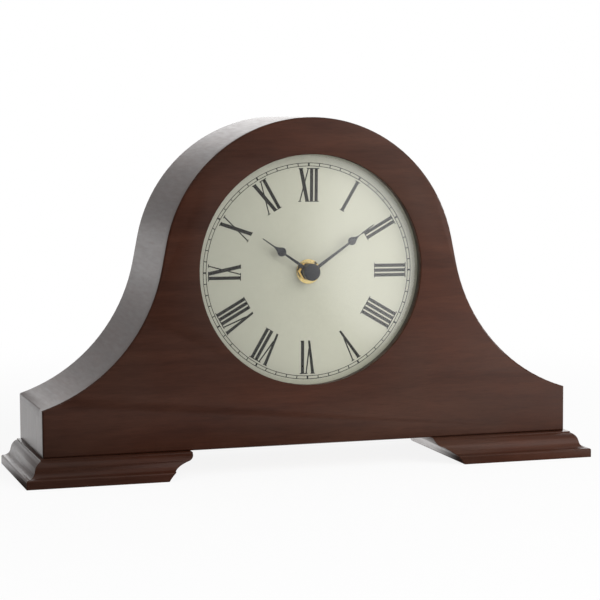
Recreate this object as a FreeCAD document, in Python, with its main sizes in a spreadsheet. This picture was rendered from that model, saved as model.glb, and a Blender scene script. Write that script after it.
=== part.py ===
import FreeCAD, Part
import math
import os
import re
import Sketcher
from FreeCAD import Placement, Rotation, Vector

# A tambour mantel clock with a quartz chime movement.
# Frame: X to the right, Y to the back, Z up, in millimetres. The origin is on the surface
# that the clock stands on, under the middle of its length and depth.

# Driving sizes. Every name becomes a cell of the sheet called Sizes.
SIZES = {
    # case, seen from the front
    "case_half_width": 177.9,
    "foot_height": 16.5,
    "arch_radius": 98.4,
    "arch_centre_height": 130.95,
    "arch_end_angle": 11.3,
    "flank_length": 17.65,
    "shoulder_radius": 113.5,
    # case, front to back
    "case_depth": 87.0,
    "front_board_thickness": 10.0,
    "front_edge_round": 1.3,
    "opening_edge_round": 0.6,
    "band_thickness": 6.0,
    "end_panel_thickness": 12.0,
    "bottom_board_thickness": 12.0,
    "back_board_thickness": 8.0,
    "back_board_inset": 6.0,
    "glue_block_side": 14.0,
    "glue_block_length": 52.0,
    # feet
    "foot_front_reach": 15.8,
    "foot_side_reach": 13.1,
    "foot_inner_half_gap": 100.0,
    "fascia_height": 5.9,
    "fascia_round": 1.2,
    "fascia_step": 2.2,
    "cove_run": 3.95,
    "cove_rise": 3.85,
    "neck_run": 0.6,
    "neck_rise": 2.2,
    "round_run": 3.95,
    "round_rise": 3.75,
    "cove_radius": 4.6,
    "round_radius": 6.4,
    "scroll_run": 14.1,
    "scroll_rise": 11.4,
    "scroll_radius": 25.3,
    "nose_run": 3.8,
    "nose_radius": 5.3,
    "foot_screw_outer_x": 150.0,
    "foot_screw_inner_x": 115.0,
    "foot_screw_edge": 22.0,
    "foot_screw_radius": 2.0,
    "foot_screw_head_radius": 4.0,
    "foot_screw_head_height": 2.6,
    "foot_screw_length": 20.0,
    "foot_counterbore_radius": 4.6,
    "foot_counterbore_depth": 5.5,
    # round opening and glass
    "opening_radius": 75.0,
    "opening_centre_height": 130.4,
    "lens_seat_radius": 79.0,
    "lens_seat_lip": 4.0,
    "lens_radius": 78.6,
    "lens_dome_radius": 74.2,
    "lens_rise": 9.5,
    "lens_thickness": 2.0,
    "spacer_inner_radius": 75.7,
    # dial and its backing board
    "dial_drop": 1.4,
    "dial_radius": 81.5,
    "dial_thickness": 0.6,
    "dial_hole_radius": 4.3,
    "backing_radius": 88.0,
    "backing_thickness": 4.6,
    "dial_recess_play": 0.2,
    "dial_screw_circle": 84.9,
    "dial_screw_angle": 45.0,
    "dial_screw_radius": 1.4,
    "dial_screw_grip": 6.0,
    "dial_screw_head_radius": 2.8,
    "dial_screw_head_height": 1.8,
    "screw_slot_width": 0.7,
    "screw_slot_depth": 0.8,
    # hands and the fittings on the centre bush
    "bush_radius": 4.0,
    "bush_bore_radius": 2.6,
    "bush_flange_radius": 6.0,
    "bush_flange_thickness": 0.8,
    "bush_tip_depth": 6.2,
    "dial_washer_radius": 8.0,
    "dial_washer_thickness": 0.8,
    "bush_nut_across_flats": 11.0,
    "bush_nut_thickness": 2.4,
    "rubber_washer_radius": 9.0,
    "rubber_thickness": 0.8,
    "hand_thickness": 0.5,
    "hour_hand_depth": 4.6,
    "hour_hand_angle": 145.0,
    "hour_hand_reach": 39.0,
    "hour_bulb_centre": 23.5,
    "hour_bulb_radius": 2.95,
    "hour_neck_reach": 31.5,
    "hour_collet_radius": 3.9,
    "hour_collet_length": 1.5,
    "hour_collet_front": 0.2,
    "minute_hand_depth": 2.7,
    "minute_hand_angle": 35.0,
    "minute_hand_reach": 52.0,
    "minute_bulb_centre": 34.0,
    "minute_bulb_radius": 2.65,
    "minute_neck_reach": 43.0,
    "minute_boss_radius": 3.2,
    "hand_root_half_width": 1.2,
    "hand_shaft_half_width": 0.65,
    "hand_point_half_width": 0.45,
    "hand_tip_half_width": 0.3,
    "bulb_shoulder_angle": 52.0,
    "cap_radius": 5.6,
    "cap_height": 2.9,
    "cap_edge_round": 1.4,
    "cap_thread_radius": 1.3,
    "cap_thread_depth": 1.8,
    # arbors and running fits
    "running_clearance": 0.05,
    "minute_arbor_radius": 1.7,
    "hour_tube_radius": 2.55,
    "hour_tube_front_depth": 4.3,
    "centre_seat_radius": 1.0,
    "setting_arbor_radius": 1.0,
    "setting_pivot_radius": 0.8,
    "train_arbor_radius": 0.5,
    "rotor_arbor_radius": 0.4,
    "pivot_reach": 1.0,
    "pivot_end_play": 0.2,
    # going train and motion work
    "wheel_face": 1.0,
    "level_gap": 0.6,
    "pinion_overhang": 0.2,
    "train_end_play": 0.2,
    "train_module": 0.3,
    "fast_module": 0.25,
    "motion_module": 0.5,
    "hour_module": 0.48,
    "centre_pinion_teeth": 12,
    "minute_wheel_teeth": 36,
    "minute_pinion_teeth": 10,
    "hour_wheel_teeth": 40,
    "centre_wheel_teeth": 64,
    "train_pinion_teeth": 8,
    "third_wheel_teeth": 60,
    "seconds_wheel_teeth": 40,
    "intermediate_wheel_teeth": 48,
    "minute_wheel_bearing": -90.0,
    "third_bearing": 150.0,
    "seconds_bearing": 90.0,
    "intermediate_bearing": 0.0,
    "rotor_bearing": 0.0,
    "rotor_magnet_radius": 2.5,
    "rotor_magnet_length": 2.0,
    # movement case
    "movement_half_width": 57.0,
    "movement_above": 31.0,
    "movement_below": 40.2,
    "movement_wall": 1.8,
    "movement_inner_depth": 22.2,
    "cover_thickness": 1.6,
    "cover_rim_height": 2.0,
    "cover_rim_thickness": 1.0,
    "cover_fit": 0.1,
    "bridge_thickness": 1.4,
    "bridge_gap": 0.8,
    "bridge_left": 20.5,
    "bridge_right": 15.5,
    "bridge_above": 27.0,
    "bridge_below": 16.0,
    "post_radius": 2.3,
    "peg_radius": 1.4,
    "left_post_x": 16.0,
    "left_post_z": 10.5,
    "right_post_x": 12.9,
    "right_post_z": 10.5,
    "upper_post_x": 18.0,
    "upper_post_z": 20.0,
    "stator_post_x": 12.0,
    "stator_post_z": 23.9,
    "bay_wall": 1.0,
    "bay_height": 15.3,
    "bay_rib_thickness": 1.6,
    "bay_rib_inner_x": 12.0,
    "bay_rib_outer_x": 40.0,
    # stator, coil and electronics
    "stator_thickness": 1.2,
    "stator_hole_radius": 3.0,
    "stator_plate_left": 4.25,
    "stator_plate_right": 11.15,
    "stator_plate_below": 5.1,
    "stator_height": 16.1,
    "stator_length": 42.4,
    "stator_leg": 4.0,
    "coil_radius": 4.4,
    "coil_length": 19.0,
    "coil_start": 18.5,
    "coil_flange_thickness": 1.0,
    "coil_flange_lip": 0.7,
    "coil_fit": 0.1,
    "circuit_left": 22.0,
    "circuit_right": 54.0,
    "circuit_below": 20.0,
    "circuit_above": 27.0,
    "circuit_thickness": 1.2,
    "circuit_depth": 19.6,
    "circuit_post_x": 50.0,
    "circuit_post_low": 16.0,
    "circuit_post_high": 23.0,
    "circuit_peg_radius": 1.0,
    "chip_radius": 5.0,
    "chip_height": 1.4,
    "chip_x": 34.0,
    "chip_z": 10.5,
    "crystal_radius": 1.5,
    "crystal_length": 8.0,
    "crystal_x": 42.0,
    "crystal_z": 8.0,
    # slides on the back of the movement
    "slide_base_width": 9.0,
    "slide_base_height": 5.0,
    "slide_base_thickness": 1.6,
    "slide_gap": 0.15,
    "slide_knob_width": 3.0,
    "slide_knob_height": 3.0,
    "slide_knob_proud": 1.6,
    "slide_travel": 6.0,
    "slide_rest_x": 30.5,
    "selector_z": 14.0,
    "volume_z": 2.0,
    # setting knob
    "knob_radius": 7.0,
    "knob_height": 5.0,
    "knob_gap": 0.8,
    "knob_flute_radius": 0.7,
    "knob_flutes": 18,
    "knob_hole_radius": 3.2,
    # batteries and contacts
    "cell_radius": 7.2,
    "cell_body_length": 49.2,
    "cell_nub_radius": 2.7,
    "cell_nub_length": 1.3,
    "cell_axis_depth": 15.1,
    "contact_thickness": 0.5,
    "contact_width": 9.0,
    "contact_height": 11.0,
    "contact_gap": 4.0,
    "contact_spring_radius": 3.0,
    "contact_wire_radius": 0.4,
    "contact_spring_turns": 3,
    # speaker
    "speaker_x": 37.4,
    "speaker_z": 3.0,
    "speaker_radius": 17.0,
    "speaker_flange_thickness": 1.2,
    "speaker_flange_width": 1.8,
    "speaker_wall": 0.8,
    "speaker_basket_depth": 9.4,
    "speaker_magnet_radius": 8.0,
    "speaker_magnet_depth": 5.6,
    "cone_thickness": 0.5,
    "cone_small_radius": 4.0,
    "cone_depth": 6.0,
    "grille_slot_width": 1.6,
    "grille_slot_pitch": 3.6,
    "grille_slots": 7,
    "grille_slot_length": 24.0,
    # back door
    "door_half_width": 62.0,
    "door_height": 104.0,
    "door_above_dial": 50.0,
    "door_gap": 0.8,
    "door_corner_radius": 3.0,
    "door_slot_width": 3.0,
    "door_slot_pitch": 6.0,
    "door_slots": 6,
    "door_slot_length": 34.0,
    "cloth_side": 44.0,
    "cloth_thickness": 0.5,
    "hinge_height": 20.0,
    "hinge_edge": 16.0,
    "hinge_leaf_width": 13.0,
    "hinge_leaf_thickness": 1.2,
    "hinge_barrel_radius": 2.2,
    "hinge_pin_radius": 1.1,
    "hinge_axis_lift": 2.3,
    "hinge_knuckle_gap": 0.25,
    "hinge_side_gap": 0.5,
    "hinge_screw_spacing": 11.0,
    "hinge_screw_radius": 1.0,
    "hinge_screw_head_radius": 1.9,
    "hinge_screw_head_height": 0.8,
    "hinge_screw_length": 6.0,
    "pull_radius": 5.0,
    "pull_height": 5.2,
    "pull_stem_radius": 2.6,
    "pull_stem_height": 2.2,
    "pull_edge": 9.0,
    "magnet_width": 16.0,
    "magnet_height": 20.0,
    "magnet_depth": 9.0,
    "magnet_reach": 6.0,
    "strike_width": 8.0,
    "strike_height": 16.0,
    "strike_thickness": 1.0,
    "strike_gap": 0.1,
    # one length that cutting tools run past a face
    "overrun": 2.0,
}

# Tooth form, as shares of the module
ADDENDUM_SHARE = 0.62
DEDENDUM_SHARE = 1.0
TOOTH_PLAY_SHARE = 0.42
PRESSURE_ANGLE = math.radians(20)

# How near two sizes read from the geometry must be to count as equal, as a share
EQUAL_SHARE = 0.001

# The most sub-parts that may be written
NODE_LIMIT = 60

doc = FreeCAD.newDocument("TambourClock")
sheet = doc.addObject("Spreadsheet::Sheet", "Sizes")


def fill_sheet(values, first_row):
    for row, (name, number) in enumerate(values.items(), first_row):
        sheet.set(f"A{row}", name)
        sheet.set(f"B{row}", str(number))
        sheet.setAlias(f"B{row}", name)


fill_sheet(SIZES, 1)
doc.recompute()


def val(name):
    """The number in the cell of that name."""
    return float(sheet.get(name))


def centre_distance(first_teeth, second_teeth, module):
    return (val(first_teeth) + val(second_teeth)) * val(module) / 2


def step_from(place, distance, bearing):
    turn = math.radians(val(bearing))
    return place[0] + distance * math.cos(turn), place[1] + distance * math.sin(turn)


# Places of the arbors, seen from the front, measured from the hands' axis
CENTRE = (0.0, 0.0)
MINUTE = step_from(
    CENTRE,
    centre_distance("centre_pinion_teeth", "minute_wheel_teeth", "motion_module"),
    "minute_wheel_bearing",
)
THIRD = step_from(
    CENTRE,
    centre_distance("train_pinion_teeth", "centre_wheel_teeth", "train_module"),
    "third_bearing",
)
SECONDS = step_from(
    THIRD,
    centre_distance("train_pinion_teeth", "third_wheel_teeth", "train_module"),
    "seconds_bearing",
)
INTERMEDIATE = step_from(
    SECONDS,
    centre_distance("train_pinion_teeth", "seconds_wheel_teeth", "train_module"),
    "intermediate_bearing",
)
ROTOR = step_from(
    INTERMEDIATE,
    centre_distance("train_pinion_teeth", "intermediate_wheel_teeth", "fast_module"),
    "rotor_bearing",
)
ARBOR_PLACES = {
    "minute": MINUTE,
    "third": THIRD,
    "seconds": SECONDS,
    "intermediate": INTERMEDIATE,
    "rotor": ROTOR,
}
DERIVED = {}
for arbor_name, arbor_place in ARBOR_PLACES.items():
    DERIVED[arbor_name + "_x"] = round(arbor_place[0], 6)
    DERIVED[arbor_name + "_z"] = round(arbor_place[1], 6)
fill_sheet(DERIVED, len(SIZES) + 1)
doc.recompute()

# Formulas that several pieces share
FRONT_Y = "(foot_front_reach - case_depth) / 2"
CENTRE_Z = "(opening_centre_height - dial_drop)"
SHOULDER_X = "((arch_radius + shoulder_radius) * cos(arch_end_angle) + flank_length * sin(arch_end_angle))"
SHOULDER_Z = (
    "(arch_centre_height + (arch_radius + shoulder_radius) * sin(arch_end_angle)"
    " - flank_length * cos(arch_end_angle))"
)
INNER_HALF_WIDTH = "(case_half_width - end_panel_thickness)"
BACK_BOARD_DEPTH = "(case_depth - back_board_inset - back_board_thickness)"
MOVEMENT_DEPTH = "(front_board_thickness + backing_thickness + rubber_thickness)"
TRAIN_START = "(movement_wall + bush_flange_thickness + train_end_play)"
LEVEL_PITCH = "(wheel_face + level_gap)"
MAGNET_START = f"({TRAIN_START} + 6 * {LEVEL_PITCH})"
BRIDGE_START = f"({MAGNET_START} + rotor_magnet_length + bridge_gap)"
STATOR_START = f"({MAGNET_START} + (rotor_magnet_length - stator_thickness) / 2)"
COVER_START = "(movement_wall + movement_inner_depth)"
BAY_TOP = "(movement_wall - movement_below + bay_height)"
CELL_AXIS_Z = "(movement_wall - movement_below + bay_height / 2)"
DOOR_TOP = f"({CENTRE_Z} + door_above_dial)"
HINGE_AXIS_X = "(-door_half_width + door_gap / 2)"
LEAF_INNER = "(hinge_barrel_radius + hinge_side_gap)"
LEAF_MIDDLE = f"((hinge_leaf_width + {LEAF_INNER}) / 2)"
CONTACT_REACH = (
    "(movement_half_width - movement_wall - contact_thickness"
    " - cell_body_length - cell_nub_length)"
)

# Places, across and up from the hands' axis
DIAL_SCREWS = [
    (f"{across}dial_screw_circle * cos(dial_screw_angle)", f"{up}dial_screw_circle * sin(dial_screw_angle)")
    for across in ("", "-")
    for up in ("", "-")
]
POSTS = {
    "left_post": ("-left_post_x", "-left_post_z"),
    "right_post": ("right_post_x", "-right_post_z"),
    "upper_post": ("-upper_post_x", "upper_post_z"),
    "stator_post": ("stator_post_x", "stator_post_z"),
}
CIRCUIT_POSTS = [("circuit_post_x", "-circuit_post_low"), ("circuit_post_x", "circuit_post_high")]

# Arbors whose ends differ from the rest of the train's
FRONT_PIVOTS = {"minute": "setting_pivot_radius", "rotor": "rotor_arbor_radius"}
BACK_PIVOTS = {"minute": "setting_arbor_radius", "rotor": "rotor_arbor_radius"}

NODES = []
TURN = {
    "x": Rotation(Vector(0, 1, 0), 90),
    "y": Rotation(Vector(1, 0, 0), -90),
    "z": Rotation(),
}


def linked(formula):
    """The formula with the sheet's name put before every cell name in it."""
    def prefix(match):
        word = match.group()
        return "Sizes." + word if word in SIZES or word in DERIVED else word
    return re.sub(r"[A-Za-z_][A-Za-z_0-9]*", prefix, formula)


def bind(item, prop, formula):
    item.setExpression(prop, linked(formula))


def put(item, x="0", y="0", z="0"):
    """Bind the place of an item to formulas."""
    for axis, formula in zip("xyz", (x, y, z)):
        if formula != "0":
            bind(item, "Placement.Base." + axis, formula)
    return item


def keep(node, item, x="0", y="0", z="0"):
    """Place a finished sub-part, name it and put it on the list of nodes."""
    put(item, x, y, z)
    item.Label = node
    NODES.append(item)
    return item


def deep(depth):
    """The Y of a plane that lies this far behind the case's front face."""
    return f"{FRONT_Y} + {depth}"


def rod(radius, length, x="0", y="0", z="0", along="y"):
    item = doc.addObject("Part::Cylinder", "Rod")
    bind(item, "Radius", radius)
    bind(item, "Height", length)
    item.Placement = Placement(Vector(), TURN[along])
    return put(item, x, y, z)


def taper(start_radius, end_radius, length, x="0", y="0", z="0", along="y"):
    item = doc.addObject("Part::Cone", "Taper")
    bind(item, "Radius1", start_radius)
    bind(item, "Radius2", end_radius)
    bind(item, "Height", length)
    item.Placement = Placement(Vector(), TURN[along])
    return put(item, x, y, z)


def block(width, depth, height, x="0", y="0", z="0"):
    """A box from its left, front, bottom corner."""
    item = doc.addObject("Part::Box", "Block")
    bind(item, "Length", width)
    bind(item, "Width", depth)
    bind(item, "Height", height)
    return put(item, x, y, z)


def fuse(*pieces):
    item = doc.addObject("Part::MultiFuse", "Fused")
    item.Shapes = list(pieces)
    return item


def group(*pieces):
    item = doc.addObject("Part::Compound", "Group")
    item.Links = list(pieces)
    return item


def cut(base, *tools):
    item = doc.addObject("Part::Cut", "CutOut")
    item.Base = base
    item.Tool = tools[0] if len(tools) == 1 else group(*tools)
    return item


def common(first, second):
    item = doc.addObject("Part::Common", "Shared")
    item.Base = first
    item.Tool = second
    return item


def tube(outer, inner, length, x="0", y="0", z="0", along="y"):
    """A ring or sleeve about its own axis."""
    result = cut(rod(outer, length, along=along), rod(inner, length, along=along))
    return put(result, x, y, z)


# Sketch helpers. Sketches lie in the XZ plane, so a pad made reversed runs to the back.


def make_body(name):
    return doc.addObject("PartDesign::Body", name)


def sketch_in(body, name, depth="0"):
    sketch = body.newObject("Sketcher::SketchObject", name)
    plane = [item for item in body.Origin.OriginFeatures if item.Role == "XZ_Plane"][0]
    sketch.AttachmentSupport = (plane, [""])
    sketch.MapMode = "FlatFace"
    if depth != "0":
        bind(sketch, "AttachmentOffset.Base.z", f"-({depth})")
    return sketch


def measured(sketch, kind, first, position):
    """What a size reads on the geometry as drawn."""
    if kind == "Radius":
        return sketch.Geometry[first].Radius
    if kind == "Distance":
        return sketch.Geometry[first].length()
    if kind == "Angle":
        run = sketch.getPoint(first, 2) - sketch.getPoint(first, 1)
        return math.atan2(run.y, run.x)
    point = sketch.getPoint(first, position)
    return point.x if kind == "DistanceX" else point.y


def dimension(sketch, name, formula, kind, first, position=0):
    """Add a size to the sketch and bind it to a formula."""
    number = measured(sketch, kind, first, position)
    if position:
        rule = Sketcher.Constraint(kind, -1, 1, first, position, number)
    else:
        rule = Sketcher.Constraint(kind, first, number)
    sketch.renameConstraint(sketch.addConstraint(rule), name)
    bind(sketch, "Constraints." + name, formula)


def draw_circle(sketch, radius, centre=("0", "0"), at=(0.0, 0.0)):
    """A circle bound to formulas for its radius and centre. at is the centre as drawn."""
    shape = Part.Circle(Vector(at[0], at[1], 0), Vector(0, 0, 1), val(radius))
    index = sketch.addGeometry(shape, False)
    dimension(sketch, f"radius_{index}", radius, "Radius", index)
    if centre == ("0", "0"):
        sketch.addConstraint(Sketcher.Constraint("Coincident", index, 3, -1, 1))
        return
    for kind, tag, formula in (("DistanceX", "x", centre[0]), ("DistanceY", "z", centre[1])):
        if formula == "0":
            sketch.addConstraint(Sketcher.Constraint("PointOnObject", index, 3, -2 if tag == "x" else -1))
        else:
            dimension(sketch, f"centre_{tag}_{index}", formula, kind, index, 3)


def pad(body, sketch, length):
    feature = body.newObject("PartDesign::Pad", "Pad")
    feature.Profile = sketch
    feature.Reversed = True
    bind(feature, "Length", length)
    return feature


def pocket(body, sketch, length=None):
    """Cut to the back, right through or as deep as the formula says, and prove that it cuts."""
    doc.recompute()
    before = body.Shape.Volume
    feature = body.newObject("PartDesign::Pocket", "Pocket")
    feature.Profile = sketch
    if length is None:
        feature.Type = "ThroughAll"
    else:
        bind(feature, "Length", length)
    doc.recompute()
    if body.Shape.Volume >= before:
        raise RuntimeError("a pocket in " + body.Name + " cuts nothing")
    return feature


def round_edges(body, radius, chosen):
    """Round the edges of a body that the test picks."""
    doc.recompute()
    base = body.Tip
    names = [f"Edge{i}" for i, edge in enumerate(base.Shape.Edges, 1) if chosen(edge)]
    feature = body.newObject("PartDesign::Fillet", "Rounded")
    feature.Base = (base, names)
    bind(feature, "Radius", radius)
    return feature


def outline_points(inset, half_width):
    """The right half of the case's outline: arch end, flank end, arc centre and shoulder end."""
    turn = math.radians(val("arch_end_angle"))
    out = Vector(math.cos(turn), math.sin(turn), 0)
    down = Vector(math.sin(turn), -math.cos(turn), 0)
    arch_centre = Vector(0, val("arch_centre_height"), 0)
    arch_end = arch_centre + out * (val("arch_radius") - inset)
    flank_end = arch_end + down * val("flank_length")
    radius = val("shoulder_radius") + inset
    centre = flank_end + out * radius
    drop = math.sqrt(radius ** 2 - (centre.x - half_width) ** 2)
    return arch_centre, arch_end, flank_end, centre, Vector(half_width, centre.y - drop, 0)


def mirrored(point):
    return Vector(-point.x, point.y, 0)


def draw_outline(sketch, inset, half_width, bottom, inset_number, half_width_number, bottom_number):
    """The hump with its two shoulders, offset inwards by the inset. The numbers are as drawn."""
    arch_centre, arch_end, flank_end, centre, end = outline_points(inset_number, half_width_number)
    up = Vector(0, 0, 1)
    low = Vector(half_width_number, bottom_number, 0)
    turn = math.atan2(arch_end.y - arch_centre.y, arch_end.x)
    arch = Part.Circle(arch_centre, up, arch_end.distanceToPoint(arch_centre))
    right = Part.Circle(centre, up, end.distanceToPoint(centre))
    left = Part.Circle(mirrored(centre), up, end.distanceToPoint(centre))
    fall = math.atan2(end.y - centre.y, end.x - centre.x)
    sketch.addGeometry([
        Part.LineSegment(mirrored(low), low),
        Part.LineSegment(low, end),
        Part.ArcOfCircle(right, math.pi + turn, fall + 2 * math.pi),
        Part.LineSegment(flank_end, arch_end),
        Part.ArcOfCircle(arch, turn, math.pi - turn),
        Part.LineSegment(mirrored(arch_end), mirrored(flank_end)),
        Part.ArcOfCircle(left, math.pi - fall - 2 * math.pi, -turn),
        Part.LineSegment(mirrored(end), mirrored(low)),
    ], False)
    for rule in (
        ("Coincident", 0, 2, 1, 1),
        ("Coincident", 1, 2, 2, 2),
        ("Tangent", 2, 1, 3, 1),
        ("Tangent", 3, 2, 4, 1),
        ("Tangent", 4, 2, 5, 1),
        ("Tangent", 5, 2, 6, 2),
        ("Coincident", 6, 1, 7, 1),
        ("Coincident", 7, 2, 0, 1),
        ("Vertical", 1),
        ("Vertical", 7),
        ("Symmetric", 0, 1, 0, 2, -2),
        ("Equal", 3, 5),
        ("Equal", 2, 6),
        ("Symmetric", 3, 2, 5, 1, -2),
    ):
        sketch.addConstraint(Sketcher.Constraint(*rule))
    dimension(sketch, "bottom", bottom, "DistanceY", 0, 2)
    dimension(sketch, "half_width", half_width, "DistanceX", 0, 2)
    dimension(sketch, "arch_centre", "arch_centre_height", "DistanceY", 4, 3)
    dimension(sketch, "arch", f"arch_radius - ({inset})", "Radius", 4)
    dimension(sketch, "shoulder", f"shoulder_radius + ({inset})", "Radius", 2)
    dimension(sketch, "flank", "flank_length", "Distance", 3)
    dimension(sketch, "flank_slope", "90 + arch_end_angle", "Angle", 3)


def make_front_board():
    body = make_body("front_board")
    outline = sketch_in(body, "FrontOutline")
    draw_outline(
        outline, "0", "case_half_width", "foot_height", 0.0, val("case_half_width"), val("foot_height")
    )
    pad(body, outline, "front_board_thickness")
    opening = sketch_in(body, "FrontOpening")
    middle = (0.0, val("opening_centre_height"))
    draw_circle(opening, "opening_radius", ("0", "opening_centre_height"), middle)
    pocket(body, opening)
    seat = sketch_in(body, "GlassSeat", "lens_seat_lip")
    draw_circle(seat, "lens_seat_radius", ("0", "opening_centre_height"), middle)
    pocket(body, seat)
    pilots = sketch_in(body, "DialScrewPilots", "front_board_thickness - dial_screw_grip")
    for across, up in DIAL_SCREWS:
        draw_circle(
            pilots,
            "dial_screw_radius",
            (across, f"{CENTRE_Z} + {up}"),
            dial_screw_number(across, up),
        )
    pocket(body, pilots)

    def on_front(edge):
        return edge.BoundBox.YMax < val("front_board_thickness") * EQUAL_SHARE

    def is_opening(edge):
        return isinstance(edge.Curve, Part.Circle) and abs(
            edge.Curve.Radius / val("opening_radius") - 1
        ) < EQUAL_SHARE

    round_edges(body, "front_edge_round", lambda edge: on_front(edge) and not is_opening(edge))
    round_edges(body, "opening_edge_round", lambda edge: on_front(edge) and is_opening(edge))
    keep("front_board", body, y=FRONT_Y)


def dial_screw_number(across, up):
    """Where a dial screw stands as drawn, from the signs of its formulas."""
    turn = math.radians(val("dial_screw_angle"))
    circle = val("dial_screw_circle")
    middle = val("opening_centre_height") - val("dial_drop")
    x = circle * math.cos(turn) * (-1 if across.startswith("-") else 1)
    z = middle + circle * math.sin(turn) * (-1 if up.startswith("-") else 1)
    return x, z


def make_band():
    """The bent skin: the outline less the same outline set in by its thickness."""
    body = make_body("tambour_band")
    outer = sketch_in(body, "BandOuter")
    draw_outline(
        outer, "0", "case_half_width", "foot_height", 0.0, val("case_half_width"), val("foot_height")
    )
    length = "case_depth - front_board_thickness"
    pad(body, outer, length)
    inner = sketch_in(body, "BandInner")
    draw_outline(
        inner,
        "band_thickness",
        "case_half_width + overrun",
        "foot_height - overrun",
        val("band_thickness"),
        val("case_half_width") + val("overrun"),
        val("foot_height") - val("overrun"),
    )
    pocket(body, inner)
    keep("tambour_band", body, y=deep("front_board_thickness"))


def make_end_panel(node, left):
    """An upright shoulder end whose top follows the underside of the band."""
    panel = block("end_panel_thickness", "case_depth - front_board_thickness", SHOULDER_Z + " - foot_height")
    reach = f"case_half_width - {SHOULDER_X}"
    tool = rod(
        "shoulder_radius + band_thickness",
        "case_depth",
        f"end_panel_thickness - ({reach})" if not left else reach,
        "-overrun",
        f"{SHOULDER_Z} - foot_height",
    )
    x = "-case_half_width" if left else INNER_HALF_WIDTH
    keep(node, cut(panel, tool), x, deep("front_board_thickness"), "foot_height")


def foot_screw_places():
    """Formulas for the screws of both feet: X from the middle, depth behind the front face."""
    return [
        (side + x, depth)
        for side in ("", "-")
        for x in ("foot_screw_outer_x", "foot_screw_inner_x")
        for depth in ("foot_screw_edge", "(case_depth - foot_screw_edge - back_board_inset)")
    ]


def make_bottom_board():
    depth = f"{BACK_BOARD_DEPTH} - front_board_thickness"
    board = block(f"2 * {INNER_HALF_WIDTH}", depth, "bottom_board_thickness", "-" + INNER_HALF_WIDTH)
    pilots = [
        rod("foot_screw_radius", "bottom_board_thickness", x, f"{y} - front_board_thickness", "0", "z")
        for x, y in foot_screw_places()
    ]
    keep("bottom_board", cut(board, *pilots), "0", deep("front_board_thickness"), "foot_height")


def make_glue_blocks():
    """A square block in each lower corner, cut to the underside of the band where that comes low."""
    side = "glue_block_side"
    z = "foot_height + bottom_board_thickness"
    curve = ("shoulder_radius + band_thickness", "case_depth")
    starts = {f"-{SHOULDER_X}": f"-{INNER_HALF_WIDTH}", SHOULDER_X: f"{INNER_HALF_WIDTH} - {side}"}
    blocks = [
        cut(
            block(side, "glue_block_length", side, start),
            rod(*curve, centre, "-overrun", f"{SHOULDER_Z} - ({z})"),
        )
        for centre, start in starts.items()
    ]
    keep("glue_blocks", group(*blocks), "0", deep("front_board_thickness"), z)


def closed_face(steps):
    """The face inside a ring of lines and arcs. Each step is an end point and an arc's middle or None."""
    start = steps[-1][0]
    shapes = []
    for end, middle in steps:
        shapes.append(Part.Arc(start, middle, end) if middle else Part.LineSegment(start, end))
        start = end
    return Part.Face(Part.Wire([shape.toShape() for shape in shapes]))


def bulge(start, end, radius, side):
    """The middle of the arc of this radius from start to end, on the side given as 1 or -1."""
    half = end.distanceToPoint(start) / 2
    sagitta = radius - math.sqrt(radius ** 2 - half ** 2)
    along = (end - start).normalize()
    return (start + end) / 2 + Vector(along.z, 0, -along.x) * sagitta * side


def moulding_steps(outward):
    """The foot's moulding from its bottom corner up, with outward as the way it faces."""
    soft = val("fascia_round")
    points = [Vector(0, 0, 0), Vector(0, 0, val("fascia_height") - soft)]
    points.append(Vector(-soft * outward, 0, val("fascia_height")))
    points.append(Vector(-val("fascia_step") * outward, 0, val("fascia_height")))
    points.append(points[-1] + Vector(-val("cove_run") * outward, 0, val("cove_rise")))
    points.append(points[-1] + Vector(-val("neck_run") * outward, 0, val("neck_rise")))
    points.append(points[-1] + Vector(-val("round_run") * outward, 0, val("round_rise")))
    top = Vector(points[-1].x, 0, val("foot_height"))
    edge = bulge(points[1], points[2], soft, outward)
    cove = bulge(points[3], points[4], val("cove_radius"), -outward)
    ovolo = bulge(points[5], points[6], val("round_radius"), outward)
    return [
        (points[0], None),
        (points[1], None),
        (points[2], edge),
        (points[3], None),
        (points[4], cove),
        (points[5], None),
        (points[6], ovolo),
        (top, None),
    ]


def foot_solid(left):
    """Two mouldings crossed, so that they mitre at the outer front corner, and the inner scroll."""
    outward = -1 if left else 1
    corner = Vector((val("case_half_width") + val("foot_side_reach")) * outward, 0, 0)
    steps = []
    for point, middle in moulding_steps(outward):
        steps.append((point + corner, middle + corner if middle else None))
    low = Vector(val("foot_inner_half_gap") * outward, 0, 0)
    knee = low + Vector(-val("scroll_run") * outward, 0, val("scroll_rise"))
    nose = Vector(knee.x - val("nose_run") * outward, 0, val("foot_height"))
    steps.append((nose, None))
    steps.append((knee, bulge(nose, knee, val("nose_radius"), outward)))
    steps.append((low, bulge(knee, low, val("scroll_radius"), -outward)))
    front = closed_face(steps)
    depth = val("case_depth") + val("foot_front_reach")
    across = front.extrude(Vector(0, depth, 0))
    side_steps = moulding_steps(1)
    side_steps.append((Vector(-depth, 0, val("foot_height")), None))
    side_steps.append((Vector(-depth, 0, 0), None))
    side = closed_face(side_steps)
    length = 2 * corner.x
    along = side.extrude(Vector(0, abs(length), 0))
    along.rotate(Vector(), Vector(0, 0, 1), -90)
    along.translate(Vector(-abs(corner.x), 0, 0))
    return across.common(along)


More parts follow.
